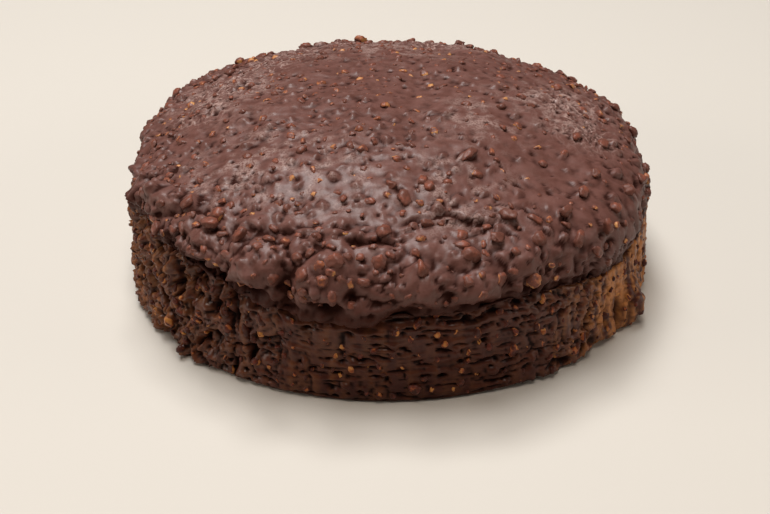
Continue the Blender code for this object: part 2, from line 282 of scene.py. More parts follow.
# %% Large nuts with places of their own
LARGE_NUTS = (
    (260.0, 100.1, 8.0, 7.0), (239.2, 98.4, 6.5, 5.5), (293.7, 95.8, 8.0, 5.5), (301.5, 56.5, 9.5, 4.5),
    (286.7, 89.8, 6.5, 6.0), (304.7, 92.3, 6.2, 4.8), (286.8, 99.5, 7.0, 6.0), (299.0, 88.4, 7.5, 5.0),
    (274.6, 73.7, 7.0, 5.0), (281.8, 64.5, 6.5, 5.0), (254.2, 103.4, 6.5, 6.0), (276.6, 102.0, 7.0, 6.0),
    (268.5, 99.0, 6.5, 6.0), (230.5, 99.6, 6.5, 5.5), (312.7, 94.5, 6.0, 5.0), (311.8, 102.7, 6.5, 5.5),
    (319.5, 102.5, 6.0, 5.5), (327.2, 101.3, 6.0, 5.0), (335.5, 101.9, 6.5, 5.5), (344.4, 104.5, 6.0, 5.5),
    (5.6, 103.0, 6.0, 5.5), (17.1, 101.0, 6.0, 5.5), (32.8, 96.5, 6.5, 5.5), (56.1, 87.0, 6.5, 6.0),
    (61.4, 85.5, 6.0, 5.5), (68.2, 88.5, 6.5, 5.5), (91.2, 85.4, 6.5, 6.0), (109.9, 87.1, 6.0, 5.5),
    (115.6, 87.5, 7.0, 6.0), (144.9, 86.0, 6.0, 5.5), (165.5, 99.0, 6.0, 5.5), (199.1, 102.5, 6.0, 5.0),
)
SIDE_FLECKS = (
    (265.9, 28.4, 3.2, 2.0), (261.3, 23.4, 3.4, 3.0), (271.7, 30.3, 3.6, 3.0), (271.4, 20.9, 4.0, 3.4),
    (268.7, 16.6, 3.0, 2.2), (273.3, 15.6, 3.0, 1.8), (276.1, 33.0, 4.6, 3.4), (279.6, 28.2, 3.2, 2.4),
    (281.0, 24.4, 3.2, 2.6), (288.2, 22.6, 4.4, 2.4), (286.0, 19.5, 2.8, 2.2), (292.0, 24.0, 3.4, 2.8),
    (295.6, 24.0, 4.4, 2.6), (284.6, 12.5, 3.0, 2.2), (288.1, 9.4, 2.8, 2.0), (278.7, 5.6, 3.2, 2.4),
    (282.9, 4.5, 2.6, 2.0), (263.1, 14.6, 3.0, 2.6), (268.6, 4.5, 3.6, 3.0), (300.5, 24.0, 3.6, 2.4),
)
TOP_NUTS = 124
TOP_CROWDING = 0.43
SIDE_NUTS = 50
GOLDEN_ANGLE = 137.508
SIDE_ANGLE = 205.1425
SIDE_CLIMB = 0.754878


def distance_at(section, height):
    """The distance along a section at which it comes down to this height, in metres."""
    return float(np.interp(-height, -section["height"], section["distance"]))


def nut_places(section, nuts):
    return on_cake(section, np.array([n[0] for n in nuts]), np.array([n[1] for n in nuts]))


LIP_DISTANCE = distance_at(TOP, LIP_HEIGHT)


def large_nuts():
    """For the top and the side: nuts with places of their own, then others by the solid's rule. Each is
    an azimuth, a distance, a length, a width, and how bare it is, or None where that is drawn."""
    rng = random.Random(SEEDS["large"])
    over = TOP["distance"] < LIP_DISTANCE
    top = []
    for azimuth, radius, length, width in LARGE_NUTS:
        distance = float(np.interp(radius / 1000.0, TOP["radius"][over], TOP["distance"][over]))
        top.append((azimuth, distance, length, width, 0.3))
    for k in range(TOP_NUTS):
        azimuth = k * GOLDEN_ANGLE + rng.uniform(-5.0, 5.0)
        share = ((k + 0.7) / TOP_NUTS) ** TOP_CROWDING
        distance = (LIP_DISTANCE - 0.003) * share + rng.uniform(-0.002, 0.002)
        length = rng.uniform(5.6, 7.6) * (0.70 + 0.22 * min(1.0, (distance / 0.100) ** 3))
        top.append((azimuth % 360.0, distance, length, length * rng.uniform(0.7, 0.95), None))
    side = [(azimuth, distance_at(SIDE, height / 1000.0), length, width, 0.9)
            for azimuth, height, length, width in SIDE_FLECKS]
    for k in range(SIDE_NUTS):
        height = 0.030 - 0.0235 * ((k * SIDE_CLIMB + 0.31) % 1.0)
        length = rng.uniform(5.6, 7.6) * 0.85
        width = length * rng.uniform(0.7, 0.95)
        side.append(((k * SIDE_ANGLE + 40.0) % 360.0, distance_at(SIDE, height), length, width, None))
    return spread_apart(top, 4.0), side


def spread_apart(nuts, gap):
    """The nuts without those that lie within the gap, in millimetres, of an earlier one."""
    places = nut_places(TOP, nuts) * 1000.0
    kept = []
    for k in range(len(nuts)):
        if all(np.linalg.norm(places[k] - places[other]) > gap for other in kept):
            kept.append(k)
    return [nuts[k] for k in kept]


# %% Strew the smaller nuts between them
def strew(section, first, tries, spacing, sizes, reach, seed):
    """Adds nuts at drawn places to the first ones, each far enough from all before it."""
    rng = np.random.default_rng(seed)
    nuts = list(first)
    azimuth = rng.uniform(0.0, 360.0, tries)
    distance = reach(rng.uniform(0.0, 1.0, tries))
    length = sizes[0] + (sizes[1] - sizes[0]) * rng.beta(1.6, 2.2, tries)
    width = length * rng.uniform(0.62, 0.98, tries)
    gap = spacing(azimuth, distance)
    places = on_cake(section, azimuth, distance) * 1000.0
    taken = nut_places(section, nuts) * 1000.0
    half = np.array([n[2] / 2.0 for n in nuts])
    for k in range(tries):
        far = np.linalg.norm(taken - places[k], axis=1)
        if np.all(far > half * 0.8 + gap[k]):
            taken = np.vstack([taken, places[k]])
            half = np.append(half, length[k] / 2.0)
            nuts.append((azimuth[k], distance[k], length[k], width[k], None))
    return nuts


def top_spacing(azimuth, distance):
    """Gap to keep round a nut on the top, in millimetres: small at the rim, large at the back."""
    crowd = ease((distance - 0.062) / 0.045)
    angle = np.radians(azimuth)
    front = 0.5 - 0.5 * np.sin(angle)
    place = np.stack([distance * np.cos(angle), distance * np.sin(angle), 0 * angle], axis=1) * 1000.0
    patchy = np.clip(bumps(place, 24.0, (9.0, 2.0, 5.0)) + 0.10, 0.0, 1.0)
    calm = 2.2 * np.exp(-((apart(azimuth, 335.0) / 30.0) ** 2))
    evenly = (2.3 - 0.2 * front) * (1.0 - crowd) + (1.3 + 0.1 * front) * crowd
    return evenly + (3.6 - 2.0 * crowd) * patchy + calm


def side_spacing(azimuth, distance):
    return 2.8 - 1.4 * round_the_cake(azimuth, CRAGGY)


top_first, side_first = large_nuts()
top_nuts = strew(TOP, top_first, 9000, top_spacing, (1.8, 5.4),
                 lambda u: (LIP_DISTANCE - 0.0005) * u**0.58, SEEDS["top"])
side_nuts = strew(SIDE, side_first, 5000, side_spacing, (1.6, 4.8),
                  lambda u: 0.001 + (SIDE["distance"][-1] - 0.004) * u, SEEDS["side"])
print("nuts on the top:", len(top_nuts), "- on the side:", len(side_nuts))

# %% [markdown]
# ## The two coats as fine meshes
# The top is a grid whose squares are bent into a disc: the square's rings become rings of the cake, so no
# corner is crowded. The side is a band of rings. Both are closed inside the cake, where nothing is seen, by
# fans of triangles that each run to one point.

# %% Grids for the top and the side
TOP_CELLS = 314
SIDE_AROUND = 1080
SIDE_RINGS = 88


def disc_grid(cells, length):
    """Azimuths and distances of a square grid that is bent into a disc, and its faces."""
    line = np.linspace(-1.0, 1.0, cells + 1)
    x, y = (part.ravel() for part in np.meshgrid(line, line, indexing="ij"))
    ring = np.maximum(np.abs(x), np.abs(y))
    safe = np.where(ring < 1e-9, 1.0, ring)
    flat = np.abs(x) >= np.abs(y)
    turn = np.where(flat, 45.0 * y / safe * np.sign(x), 90.0 - 45.0 * x / safe * np.sign(y))
    azimuth = np.where(flat, turn + np.where(x < 0.0, 180.0, 0.0), turn + np.where(y < 0.0, 180.0, 0.0))
    row = cells + 1
    corner = (np.arange(cells)[:, None] * row + np.arange(cells)[None, :]).ravel()
    faces = np.stack([corner, corner + row, corner + row + 1, corner + 1], axis=1)
    edge = ([i * row for i in range(cells)] + [cells * row + j for j in range(cells)]
            + [i * row + cells for i in range(cells, 0, -1)] + [j for j in range(cells, 0, -1)])
    return azimuth % 360.0, length * ring * (1.15 - 0.15 * ring), faces.tolist(), edge


def band_grid(around, rings, length):
    """Azimuths and distances of a band of rings, and its faces, with finer columns at the crags."""
    fine = np.arange(3600) / 10.0
    share = np.cumsum(0.6 + round_the_cake(fine, CRAGGY))
    columns = np.interp(np.arange(around) / around * share[-1], share, fine)
    turn, down = np.meshgrid(columns, np.linspace(0.0, length, rings + 1))
    corner = np.arange(rings)[:, None] * around + np.arange(around)[None, :]
    beside = np.arange(rings)[:, None] * around + (np.arange(around)[None, :] + 1) % around
    faces = np.stack([corner, corner + around, beside + around, beside], axis=2).reshape(-1, 4)
    return turn.ravel(), down.ravel(), faces.tolist()


def fan(edge, point):
    return [(a, b, point) for a, b in zip(edge, [*edge[1:], edge[0]])]


def mesh_from(name, points, faces):
    mesh = bpy.data.meshes.new(name)
    mesh.from_pydata(points.tolist(), [], faces)
    bm = bmesh.new()
    bm.from_mesh(mesh)
    bmesh.ops.recalc_face_normals(bm, faces=bm.faces)
    bm.to_mesh(mesh)
    bm.free()
    mesh.shade_smooth()
    return mesh


def normals_of(mesh):
    found = np.empty(len(mesh.vertices) * 3)
    mesh.vertex_normals.foreach_get("vector", found)
    return found.reshape(-1, 3)


# %% [markdown]
# ## The glaze over each nut
# Most nuts are covered: the glaze lies over them as a mound with the nut's own tilted top and steep sides.
# A share of them breaks through, so there the mound is lower and the nut itself is added later. How far a
# nut stands out is drawn for each one: at the back most are nearly flush, at the front and at the rim they
# stand proud. Beside some nuts the glaze has pulled away and left a pit.

# %% The glaze's mounds and pits, and how each nut lies
NUT_SIDES = 5


def tree_of(points):
    tree = kdtree.KDTree(len(points))
    for k, point in enumerate(points.tolist()):
        tree.insert(point, k)
    tree.balance()
    return tree


def mound(along, across, rng):
    """Height of a covered nut, about 1 at its middle: a tilted top and steep sides with blunted edges."""
    tilt = rng.uniform(-0.4, 0.4, 2)
    planes = [1.0 + tilt[0] * along + tilt[1] * across]
    for k in range(NUT_SIDES):
        angle = (k + rng.uniform(-0.35, 0.35)) * math.tau / NUT_SIDES
        steep = rng.uniform(1.4, 2.8)
        planes.append(steep * (rng.uniform(0.75, 1.10) - math.cos(angle) * along - math.sin(angle) * across))
    lowest = -np.log(sum(np.exp(-5.0 * plane) for plane in planes)) / 5.0
    return np.log1p(np.exp(8.0 * lowest)) / 8.0


def bed_nuts(points, outward, nuts, where, proud, habit, seed):
    """Lift of the glaze over the nuts, in millimetres, and how each nut lies. Habit: how upright the nuts are
    turned, the share that breaks through, and the share with a pit beside it."""
    upright, showing, pitted = habit
    tree = tree_of(points)
    rng = np.random.default_rng(seed)
    lift = np.zeros(len(points))
    pits = np.zeros(len(points))
    lying = []
    for k, (_, _, length, width, bare) in enumerate(nuts):
        centre = points[where[k]]
        up = outward[where[k]]
        spin = rng.uniform(0.0, math.tau)
        side = np.cross(up, [math.cos(spin), math.sin(spin), upright])
        side /= np.linalg.norm(side)
        along = np.cross(side, up)
        thick = width * rng.uniform(0.62, 0.85)
        tall = thick * (0.12 + 0.74 * proud[k] * rng.beta(2.0, 1.4))
        shows = rng.random() < showing if bare is None else bare > 0.15
        veil = rng.uniform(0.35, 0.80) if shows else 1.0
        near = [i for _, i, _ in tree.find_range(centre, length * 0.0011)]
        tone = rng.beta(1.8, 1.1) if bare is None else bare
        lying.append((centre, up, along, side, (length, width, thick, tall), tone if shows else None))
        if not near:
            continue
        local = (points[near] - centre) * 1000.0
        x, y = local @ along, local @ side
        lift[near] = np.hypot(lift[near], veil * tall * mound(x / (0.5 * length), y / (0.5 * width), rng))
        if rng.random() < pitted:
            turn = rng.uniform(0.0, math.tau)
            far = np.hypot(x - 0.7 * length * math.cos(turn), y - 0.7 * width * math.sin(turn))
            far = far / (0.27 * length)
            pits[near] = np.minimum(pits[near], -rng.uniform(0.3, 0.9) * np.exp(-(far**3)))
    return lift + pits, lying


def chopped_places(lying, smallest, largest, seed):
    """Where and how the strewn shapes go, for the nuts that show and whose length is between these two."""
    rng = np.random.default_rng(seed)
    places = []
    for centre, up, along, side, (length, width, thick, tall), tone in lying:
        tip = Matrix.Rotation(rng.uniform(-0.3, 0.3), 3, "X")
        tip = tip @ Matrix.Rotation(rng.uniform(-0.3, 0.3), 3, "Y")
        turn = (Matrix((Vector(along), Vector(side), Vector(up))).transposed() @ tip).to_euler()
        shape = int(rng.integers(0, 8))
        if tone is not None and smallest <= length < largest:
            place = centre + up * (tall - thick * 0.42) / 1000.0
            bulk = np.array([length, width, thick]) * 1.06 / 1000.0
            places.append((place, tuple(turn), tuple(bulk), shape, tone))
    return places


# %% [markdown]
# ## Creases of the set glaze
# Where the glaze stopped, one layer lies over another and leaves a thin dark step, its seam also darkened
# with painted shade. Each crease is a line of places on the top: the surface rises softly to it and drops
# sharply behind it.

# %% Creases on the top
CREASES = (
    {"depth": 1.1, "line": ((294.5, 81.5), (298.0, 82.0), (300.8, 82.8), (303.7, 86.1), (306.2, 89.9),
                            (308.5, 93.0))},
    {"depth": 1.5, "line": ((266.5, 86.5), (270.0, 84.8), (274.3, 82.9), (280.7, 81.4), (286.8, 83.1),
                            (292.2, 86.9), (296.1, 90.7), (298.5, 96.0), (301.5, 99.5))},
    {"depth": 2.1, "line": ((248.0, 90.0), (251.1, 88.5), (255.0, 87.6), (259.2, 87.0), (264.4, 84.9),
                            (267.0, 83.5))},
    {"depth": 2.6, "line": ((243.5, 91.0), (246.5, 92.3), (249.4, 93.4), (252.4, 94.4), (255.6, 95.4),
                            (259.5, 96.1))},
    {"depth": 2.2, "line": ((260.5, 90.4), (263.0, 91.2), (266.2, 91.0), (271.0, 91.4), (274.0, 92.5))},
    {"depth": 1.2, "line": ((228.0, 97.0), (233.0, 95.5), (238.0, 95.0), (242.0, 97.5))},
    {"depth": 1.1, "line": ((52.0, 88.0), (60.0, 84.5), (70.0, 84.0), (79.0, 88.0), (84.0, 93.0))},
    {"depth": 1.2, "line": ((118.0, 90.0), (127.0, 87.0), (136.0, 88.5), (143.0, 93.0))},
    {"depth": 1.0, "line": ((8.0, 92.0), (16.0, 88.0), (25.0, 87.0), (33.0, 91.0))},
)


def crease_lift(points):
    """Rise and drop at each crease, in millimetres, and how near each point is to its seam. A crease runs
    with rising azimuth, its high side inwards."""
    lift = np.zeros(len(points))
    seam = np.zeros(len(points))
    waver = wander(points * 1000.0, 9.0, (2, 4, 6), (7, 3, 1))
    crumple = wander(points * 1000.0, 3.4, (5, 2, 1), (1, 6, 8))
    flat = points[:, :2] * 1000.0 + 2.2 * waver + 1.3 * crumple
    broken = np.clip(0.75 + 1.3 * bumps(points * 1000.0, 7.0, (8.0, 3.0, 2.0)), 0.25, 1.3)
    for crease in CREASES:
        turns, radii = np.array(crease["line"]).T
        corners = np.stack([radii * np.cos(np.radians(turns)), radii * np.sin(np.radians(turns))], axis=1)
        best = np.full(len(points), 1e9)
        inward = np.zeros(len(points))
        share = np.zeros(len(points))
        count = len(corners) - 1
        for k, (a, b) in enumerate(zip(corners, corners[1:])):
            span = b - a
            t = np.clip(((flat - a) @ span) / (span @ span), 0.0, 1.0)
            away = flat - a - t[:, None] * span
            far = np.hypot(away[:, 0], away[:, 1])
            closer = far < best
            best = np.where(closer, far, best)
            cross = span[0] * away[:, 1] - span[1] * away[:, 0]
            inward = np.where(closer, np.sign(cross), inward)
            share = np.where(closer, (k + t) / count, share)
        fade = ease(share / 0.22) * ease((1.0 - share) / 0.22) * broken
        high = 0.50 * np.exp(-best / 3.6)
        low = -0.95 * np.exp(-best / 1.7)
        edge = np.clip(inward * best / 0.7 * 0.5 + 0.5, 0.0, 1.0)
        lift += np.where(best < 14.0, fade * crease["depth"] * (low + (high - low) * edge), 0.0)
        seam = np.maximum(seam, fade * np.exp(-(((inward * best + 0.5) / 0.75) ** 2)))
    return lift, seam


# %% [markdown]
# ## The lobed rim
# At the rim the glaze hangs in thick lobes, with deep hollows between and under them. Those that face the
# viewer have places of their own, the rest go round the cake by a rule. Both coats follow the same lobes,
# so the side draws back under them.

# %% Lobes and hollows
LOBES = (
    (231.0, 50.0, 6.5, 6.0, 1.8), (244.4, 51.5, 8.5, 6.0, 4.0), (257.5, 50.5, 9.0, 6.5, 4.2),
    (267.0, 50.0, 6.0, 5.0, 1.3), (276.5, 49.0, 7.0, 5.5, 2.6), (287.5, 50.0, 7.0, 5.5, 2.6),
    (298.0, 50.0, 6.0, 5.0, 1.2), (250.6, 44.0, 3.0, 7.0, -5.0), (243.5, 41.5, 7.5, 3.2, -5.0),
    (236.5, 44.0, 3.4, 5.0, -3.4), (230.0, 43.0, 6.5, 3.4, -4.2), (259.0, 40.6, 6.0, 2.4, -4.6),
    (263.6, 45.0, 2.4, 4.0, -1.8), (281.5, 44.5, 3.0, 3.0, -1.2), (293.0, 46.5, 3.0, 3.5, -1.6),
)
LOBES_BEHIND = 22


def all_lobes():
    rng = random.Random(SEEDS["lobes"])
    lobes = list(LOBES)
    for k in range(LOBES_BEHIND):
        azimuth = 308.0 + (k + rng.uniform(0.2, 0.8)) * 276.0 / LOBES_BEHIND
        height = rng.uniform(46.0, 51.0)
        lobes.append((azimuth, height, rng.uniform(5.0, 8.0), rng.uniform(4.5, 6.5), rng.uniform(0.3, 1.4)))
        lobes.append((azimuth + 6.0, height - 6.0, rng.uniform(2.5, 4.0), rng.uniform(2.5, 4.0),
                      rng.uniform(-2.6, -1.0)))
    return lobes


def lobe_lift(azimuth, height):
    return bulges(azimuth, height, all_lobes())


def bulges(azimuth, height, table):
    """Rounded lumps, and with a negative out hollows, on the upright part of the cake, in millimetres."""
    lift = np.zeros(len(azimuth))
    for lobe in table:
        sideways, down = from_lump(azimuth, height, lobe)
        lift += lobe[4] * np.exp(-((sideways**2 + down**2) ** 1.3))
    return lift


# %% [markdown]
# ## Where the rim is set back
# At two places the rim stands farther in than the rest. Lifting along the normals would go wrong under the
# overhang, where they look inwards, so the points move level towards the cake's axis instead.

# %% Where the rim is set back
SET_BACK = (
    (178.0, 52.0, 50.0, 14.0, -4.8), (352.0, 54.0, 36.0, 12.0, -3.2),
)


def set_back(points, azimuth):
    """The points moved level towards the middle, which works under the rim too, where faces look inwards."""
    radius = np.hypot(points[:, 0], points[:, 1])
    inward = bulges(azimuth, points[:, 2] * 1000.0, SET_BACK) / 1000.0 * ease((radius - 0.075) / 0.020)
    scale = 1.0 + inward / np.maximum(radius, 0.001)
    return points * np.stack([scale, scale, np.ones(len(scale))], axis=1)


# %% [markdown]
# ## Crags
# Where the knife tore the coat it left upright ridges. The absolute value of noise has a sharp line where
# the noise crosses zero, so ridges are cut from it, and pockets are the highest parts of another noise,
# pushed in.

# %% Crags, strongest at the left
def crags(points, azimuth):
    """Upright ridges, torn in patches and with deep pockets between them, in millimetres."""
    waver = wander(points, 6.0, (3, 6, 2), (7, 1, 4), (2, 9, 8))
    warped = points + 4.0 * waver
    torn = ease(0.55 + 1.1 * bumps(points, (10.0, 10.0, 13.0), (1.0, 6.0, 4.0)))
    lumps = 1.5 - 4.6 * np.abs(bumps(warped, (4.6, 4.6, 13.0), (3.0, 9.0, 1.0)))
    shreds = 2.0 * bumps(warped, (2.4, 2.4, 5.5), (5.0, 2.0, 6.0))
    shreds = shreds + 1.6 * bumps(warped, (1.3, 1.3, 2.6), (2.0, 2.0, 6.0))
    pockets = 10.0 * np.maximum(bumps(warped, (4.2, 4.2, 8.0), (8.0, 3.0, 7.0)) - 0.15, 0.0)
    thin = 0.7 - 2.2 * np.abs(bumps(warped, (2.3, 2.3, 6.0), (6.0, 3.0, 3.0)))
    return (lumps + thin + (0.25 + 0.95 * torn) * shreds - pockets) * round_the_cake(azimuth, CRAGGY)


# %% [markdown]
# ## Relief of the top
# Between the nuts the glaze swells softly, heaps up towards the rim, and has a skin of fine wrinkles here
# and there. Each is a layer of noise with its own size of wave, and a table says where it is strong.

# %% Relief of the top, and where it is frosted and painted with sheen
WRINKLED = ((160.0, 72.0, 16.0), (142.0, 70.0, 14.0), (124.0, 74.0, 13.0), (178.0, 74.0, 11.0),
            (8.0, 74.0, 13.0), (352.0, 78.0, 11.0), (75.0, 82.0, 15.0), (102.0, 80.0, 13.0))
LUMPY = ((0, 0.55), (50, 0.75), (90, 0.80), (150, 0.75), (185, 0.70), (215, 0.90), (232, 0.8), (244, 0.55),
         (258, 0.55), (270, 0.75), (285, 0.65), (302, 0.25), (336, 0.20))
FROSTED_AND_SHEEN = ((226.0, 66.0, 26.0), (290.0, 70.0, 20.0), (250.0, 62.0, 16.0), (165.0, 72.0, 24.0),
           (5.0, 68.0, 22.0), (90.0, 60.0, 22.0), (330.0, 40.0, 16.0), (95.0, 86.0, 15.0),
           (120.0, 84.0, 14.0), (62.0, 86.0, 14.0))


def zones(points, marks):
    """1 in the middle of each round zone, given as azimuth, radius and reach, falling to 0 outside."""
    share = np.zeros(len(points))
    for azimuth, radius, reach in marks:
        angle = math.radians(azimuth)
        far = np.hypot(points[:, 0] - radius * math.cos(angle), points[:, 1] - radius * math.sin(angle))
        share = np.maximum(share, np.exp(-((far / reach) ** 2)))
    return share


def painted_highlight_zone(points):
    """1 where the skin of the glaze was pulled into fine lines, which are painted as pale highlight, and 0
    elsewhere.
    """
    return np.clip(1.5 * zones(points, WRINKLED), 0.0, 1.0)


def wrinkles(points, azimuth):
    """1 on fine lines that run with the rim, where the skin of the glaze was pulled; the sheen mask paints
    highlight along them.
    """
    radius = np.hypot(points[:, 0], points[:, 1])
    share = zones(points, WRINKLED)
    around = np.radians(azimuth) * radius
    waver = 5.0 * bumps(points, 11.0, (5.0, 5.0, 5.0))
    lines = np.zeros(len(points))
    for slant, shift in ((0.16, 2.0), (-0.22, 6.0)):
        across = (radius + waver + slant * around) / 3.4
        ridge = bumps(np.stack([around / 13.0, across, 0 * radius], axis=1), 1.0, (shift, 2.0, 2.0))
        lines = np.maximum(lines, np.clip(1.0 - np.abs(ridge) / 0.13, 0.0, 1.0))
    return np.clip(1.4 * share, 0.0, 1.0) * lines


def rim_mounds(points, azimuth, to_lip):
    """Rounded lumps near the rim with sharp gaps between them, in millimetres."""
    reach = 18.0 + 18.0 * np.exp(-((apart(azimuth, 247.0) / 42.0) ** 2))
    near_rim = ease((reach - to_lip) / 14.0) * round_the_cake(azimuth, LUMPY)
    waver = wander(points, 9.0, (1, 5, 3), (6, 2, 7), (3, 8, 1))
    warped = points + 3.0 * waver
    large = np.abs(bumps(warped, (15.0, 15.0, 13.0), (4.0, 4.0, 9.0)))
    small = np.abs(bumps(warped, (6.5, 6.5, 6.0), (7.0, 1.0, 3.0)))
    return (8.5 * large + 1.6 * small - 2.3) * near_rim


def top_relief(points, azimuth, distance):
    """Everything that the top has between the nuts, in millimetres."""
    to_lip = (LIP_DISTANCE - distance) * 1000.0
    broad = 1.6 * bumps(points, 24.0, (1.0, 4.0, 2.0)) + 0.6 * bumps(points, 9.0, (4.0, 2.0, 6.0))
    grain = 0.22 * bumps(points, 2.4, (6.0, 1.0, 3.0)) + 0.34 * bumps(points, 4.2, (2.0, 8.0, 3.0))
    band = (0.9 + 1.1 * round_the_cake(azimuth, CRAGGY)) * ease((1.5 - to_lip) / 3.0)
    rim = rim_mounds(points, azimuth, to_lip) + lobe_lift(azimuth, points[:, 2]) - band
    rim += 0.9 * bumps(points, 3.0, (2.0, 5.0, 9.0)) * ease((6.0 - to_lip) / 5.0)
    rim += 0.75 * crags(points, azimuth) * ease((11.0 - to_lip) / 8.0)
    creased, seam = crease_lift(points / 1000.0)
    return broad + grain + rim + creased + 0.55 * wrinkles(points, azimuth), seam


# %% [markdown]
# ## Building the top coat
# The coat is shaped in two passes, first the relief and then the nuts on it, each along the normals of what
# is there. What the material needs is measured on the mesh and kept as attributes: where the pale lines of
# painted highlight go, where the glaze is frosted with painted sheen, and where the band by the rim, the
# hollows and the crease seams get painted shade.

# %% Build the top coat
def frost_and_sheen_of(points, azimuth):
    # Mottled zones of dull bloom that is also painted sheen, and painted highlight along the wrinkles.
    share = zones(points, FROSTED_AND_SHEEN)
    patches = bumps(points, (9.0, 9.0, 9.0), (1.5, 2.5, 3.5)) + 1.0 * bumps(points, 3.2, (2.5, 3.5, 1.5))
    mottled = share * (0.35 + 1.8 * patches)
    return np.clip(np.maximum(mottled, 0.5 * wrinkles(points, azimuth)), 0.0, 1.0)


# Its result is used only as a mask of painted shade in the hollows.
def cavities(relief, shape):
    """How deep each place of a grid lies under the average round it, from 0 to 1, near by and farther off."""
    grid = relief.reshape(shape)
    smooth = grid
    deepest = np.zeros(shape)
    for rounds, depth in ((12, 0.42), (90, 1.9)):
        for _ in range(rounds):
            beside = sum(np.roll(smooth, step, axis) for step in (-1, 1) for axis in (0, 1))
            smooth = 0.5 * smooth + 0.125 * beside
        deepest = np.maximum(deepest, (smooth - grid) / depth - 0.12)
    return np.clip(1.5 * deepest.ravel(), 0.0, 1.0)


def nearest_of(points, section, nuts):
    tree = tree_of(points)
    return [tree.find(place)[1] for place in nut_places(section, nuts).tolist()]


def shaped(points, relief, faces, ends):
    """The points moved outwards by the relief in millimetres, with their new outward directions."""
    for shift in (relief, None):
        body = mesh_from("body", np.vstack([points, ends]), faces)
        outward = normals_of(body)[:len(points)]
        bpy.data.meshes.remove(body)
        if shift is not None:
            points = points + outward * shift[:, None] / 1000.0
    return points, outward


def coat(name, points, faces, ends, attributes):
    mesh = mesh_from(name, np.vstack([points, ends]), faces)
    for key, values in attributes.items():
        store(mesh, key, np.append(values, np.zeros(len(ends))))
    piece = bpy.data.objects.new(name, mesh)
    bpy.context.scene.collection.objects.link(piece)
    return piece


def top_proud(nuts):
    azimuth = np.radians([n[0] for n in nuts])
    rim = ease((np.array([n[1] for n in nuts]) - 0.072) / 0.020)
    front = 0.5 - 0.5 * np.sin(azimuth)
    placed = np.array([n[4] is not None for n in nuts])
    drawn = np.where(placed, 0.46 + 0.42 * front**2, 0.38 + 0.30 * front)
    return np.maximum(drawn, np.where(placed, 1.1, 0.75) * rim)


def build_top():
    azimuth, distance, faces, edge = disc_grid(TOP_CELLS, TOP["distance"][-1])
    points = on_cake(TOP, azimuth, distance)
    where = nearest_of(points, TOP, top_nuts)
    points = set_back(points, azimuth)
    ends = np.array([[0.0, 0.0, 0.028]])
    faces = faces + fan(edge, len(points))
    open_part = ease((TOP["distance"][-1] - distance) / 0.004)
    relief, seam = top_relief(points * 1000.0, azimuth, distance)
    relief = relief * open_part
    points, outward = shaped(points, relief, faces, ends)
    lift, lying = bed_nuts(points, outward, top_nuts, where, top_proud(top_nuts), (0.35, 0.55, 0.40),
                           SEEDS["top lie"])
    points = points + outward * (lift * open_part)[:, None] / 1000.0
    to_lip = (LIP_DISTANCE - distance) * 1000.0
    # The band next to the rim and the underside of its nose get painted shade: wider at azimuth 217, almost
    # none at the left.
    torn = 5.0 * np.exp(-((apart(azimuth, 217.0) / 14.0) ** 2))
    shown = 1.0 - 0.85 * np.exp(-((apart(azimuth, 180.0) / 20.0) ** 2))
    # The pale lines are painted highlight, and the frosted patches carry painted sheen.
    masks = {"painted_highlight_zone": painted_highlight_zone(points * 1000.0), "frost_and_sheen": frost_and_sheen_of(points * 1000.0, azimuth),
             # Painted shade under the rim.
             "low": ease((4.0 + torn - to_lip) / 6.0) * shown,
             # Painted shade: hollows near by and farther off, and the seams of the creases, take a near-black
             # colour and lose their gloss.
             "painted_shade_hollows": np.maximum(cavities(relief + lift, (TOP_CELLS + 1, TOP_CELLS + 1)), 0.85 * seam)}
    return coat("top_glaze", points, faces, ends, masks), lying


def triangles(piece):
    return sum(len(face.vertices) - 2 for face in piece.data.polygons)


def store(mesh, name, values):
    mesh.attributes.new(name, "FLOAT", "POINT").data.foreach_set("value", values.astype(np.float32))


top_glaze, top_lying = build_top()
print("top coat, triangles:", triangles(top_glaze))

# %% [markdown]
# ## The spread side
# The knife left level smears and slits at the front, crags with deep pockets at the left, upright streaks
# at the right, and many small torn holes. Under the rim the coat tucks in behind the glaze of the top. So
# the relief changes round the cake: stretched noise for smears and streaks, and small dents for the holes.

# %% Relief of the side
# Where the coat is thin and orange-brown; at the right these streaks are mostly a painted warm reflection.
# The drips of the relief follow the same table.
AMBER_AND_REFLECTION = (
    (2, 0.45), (20, 0.15), (90, 0.12), (150, 0.18), (195, 0.38), (218, 0.26), (240, 0.1), (300, 0.05),
    (312, 0.30), (326, 1.15), (346, 1.15),
)
GROOVE = (
    (0, 0.4), (90, 0.9), (150, 0.6), (190, 0.1), (226, 0.3), (240, 1.2), (258, 2.2), (296, 2.0),
    (310, 0.8), (330, 0.2),
)
FLUSH = (
    (0, 1.2), (90, 0.6), (150, 0.6), (190, 1.0), (210, 1.6), (226, 1.3), (242, 0.3), (256, 0.0),
    (294, 0.0), (306, 1.2), (335, 1.7),
)
FOOT = (
    (331.5, 10.0, 4.6, 8.5, 1.8), (325.5, 9.0, 2.2, 9.0, -3.2), (318.0, 2.5, 6.0, 3.2, -3.4),
    (308.0, 4.0, 3.0, 2.0, -2.4), (236.0, 3.0, 6.0, 2.6, -2.4), (216.0, 4.0, 4.0, 3.2, -2.6),
)
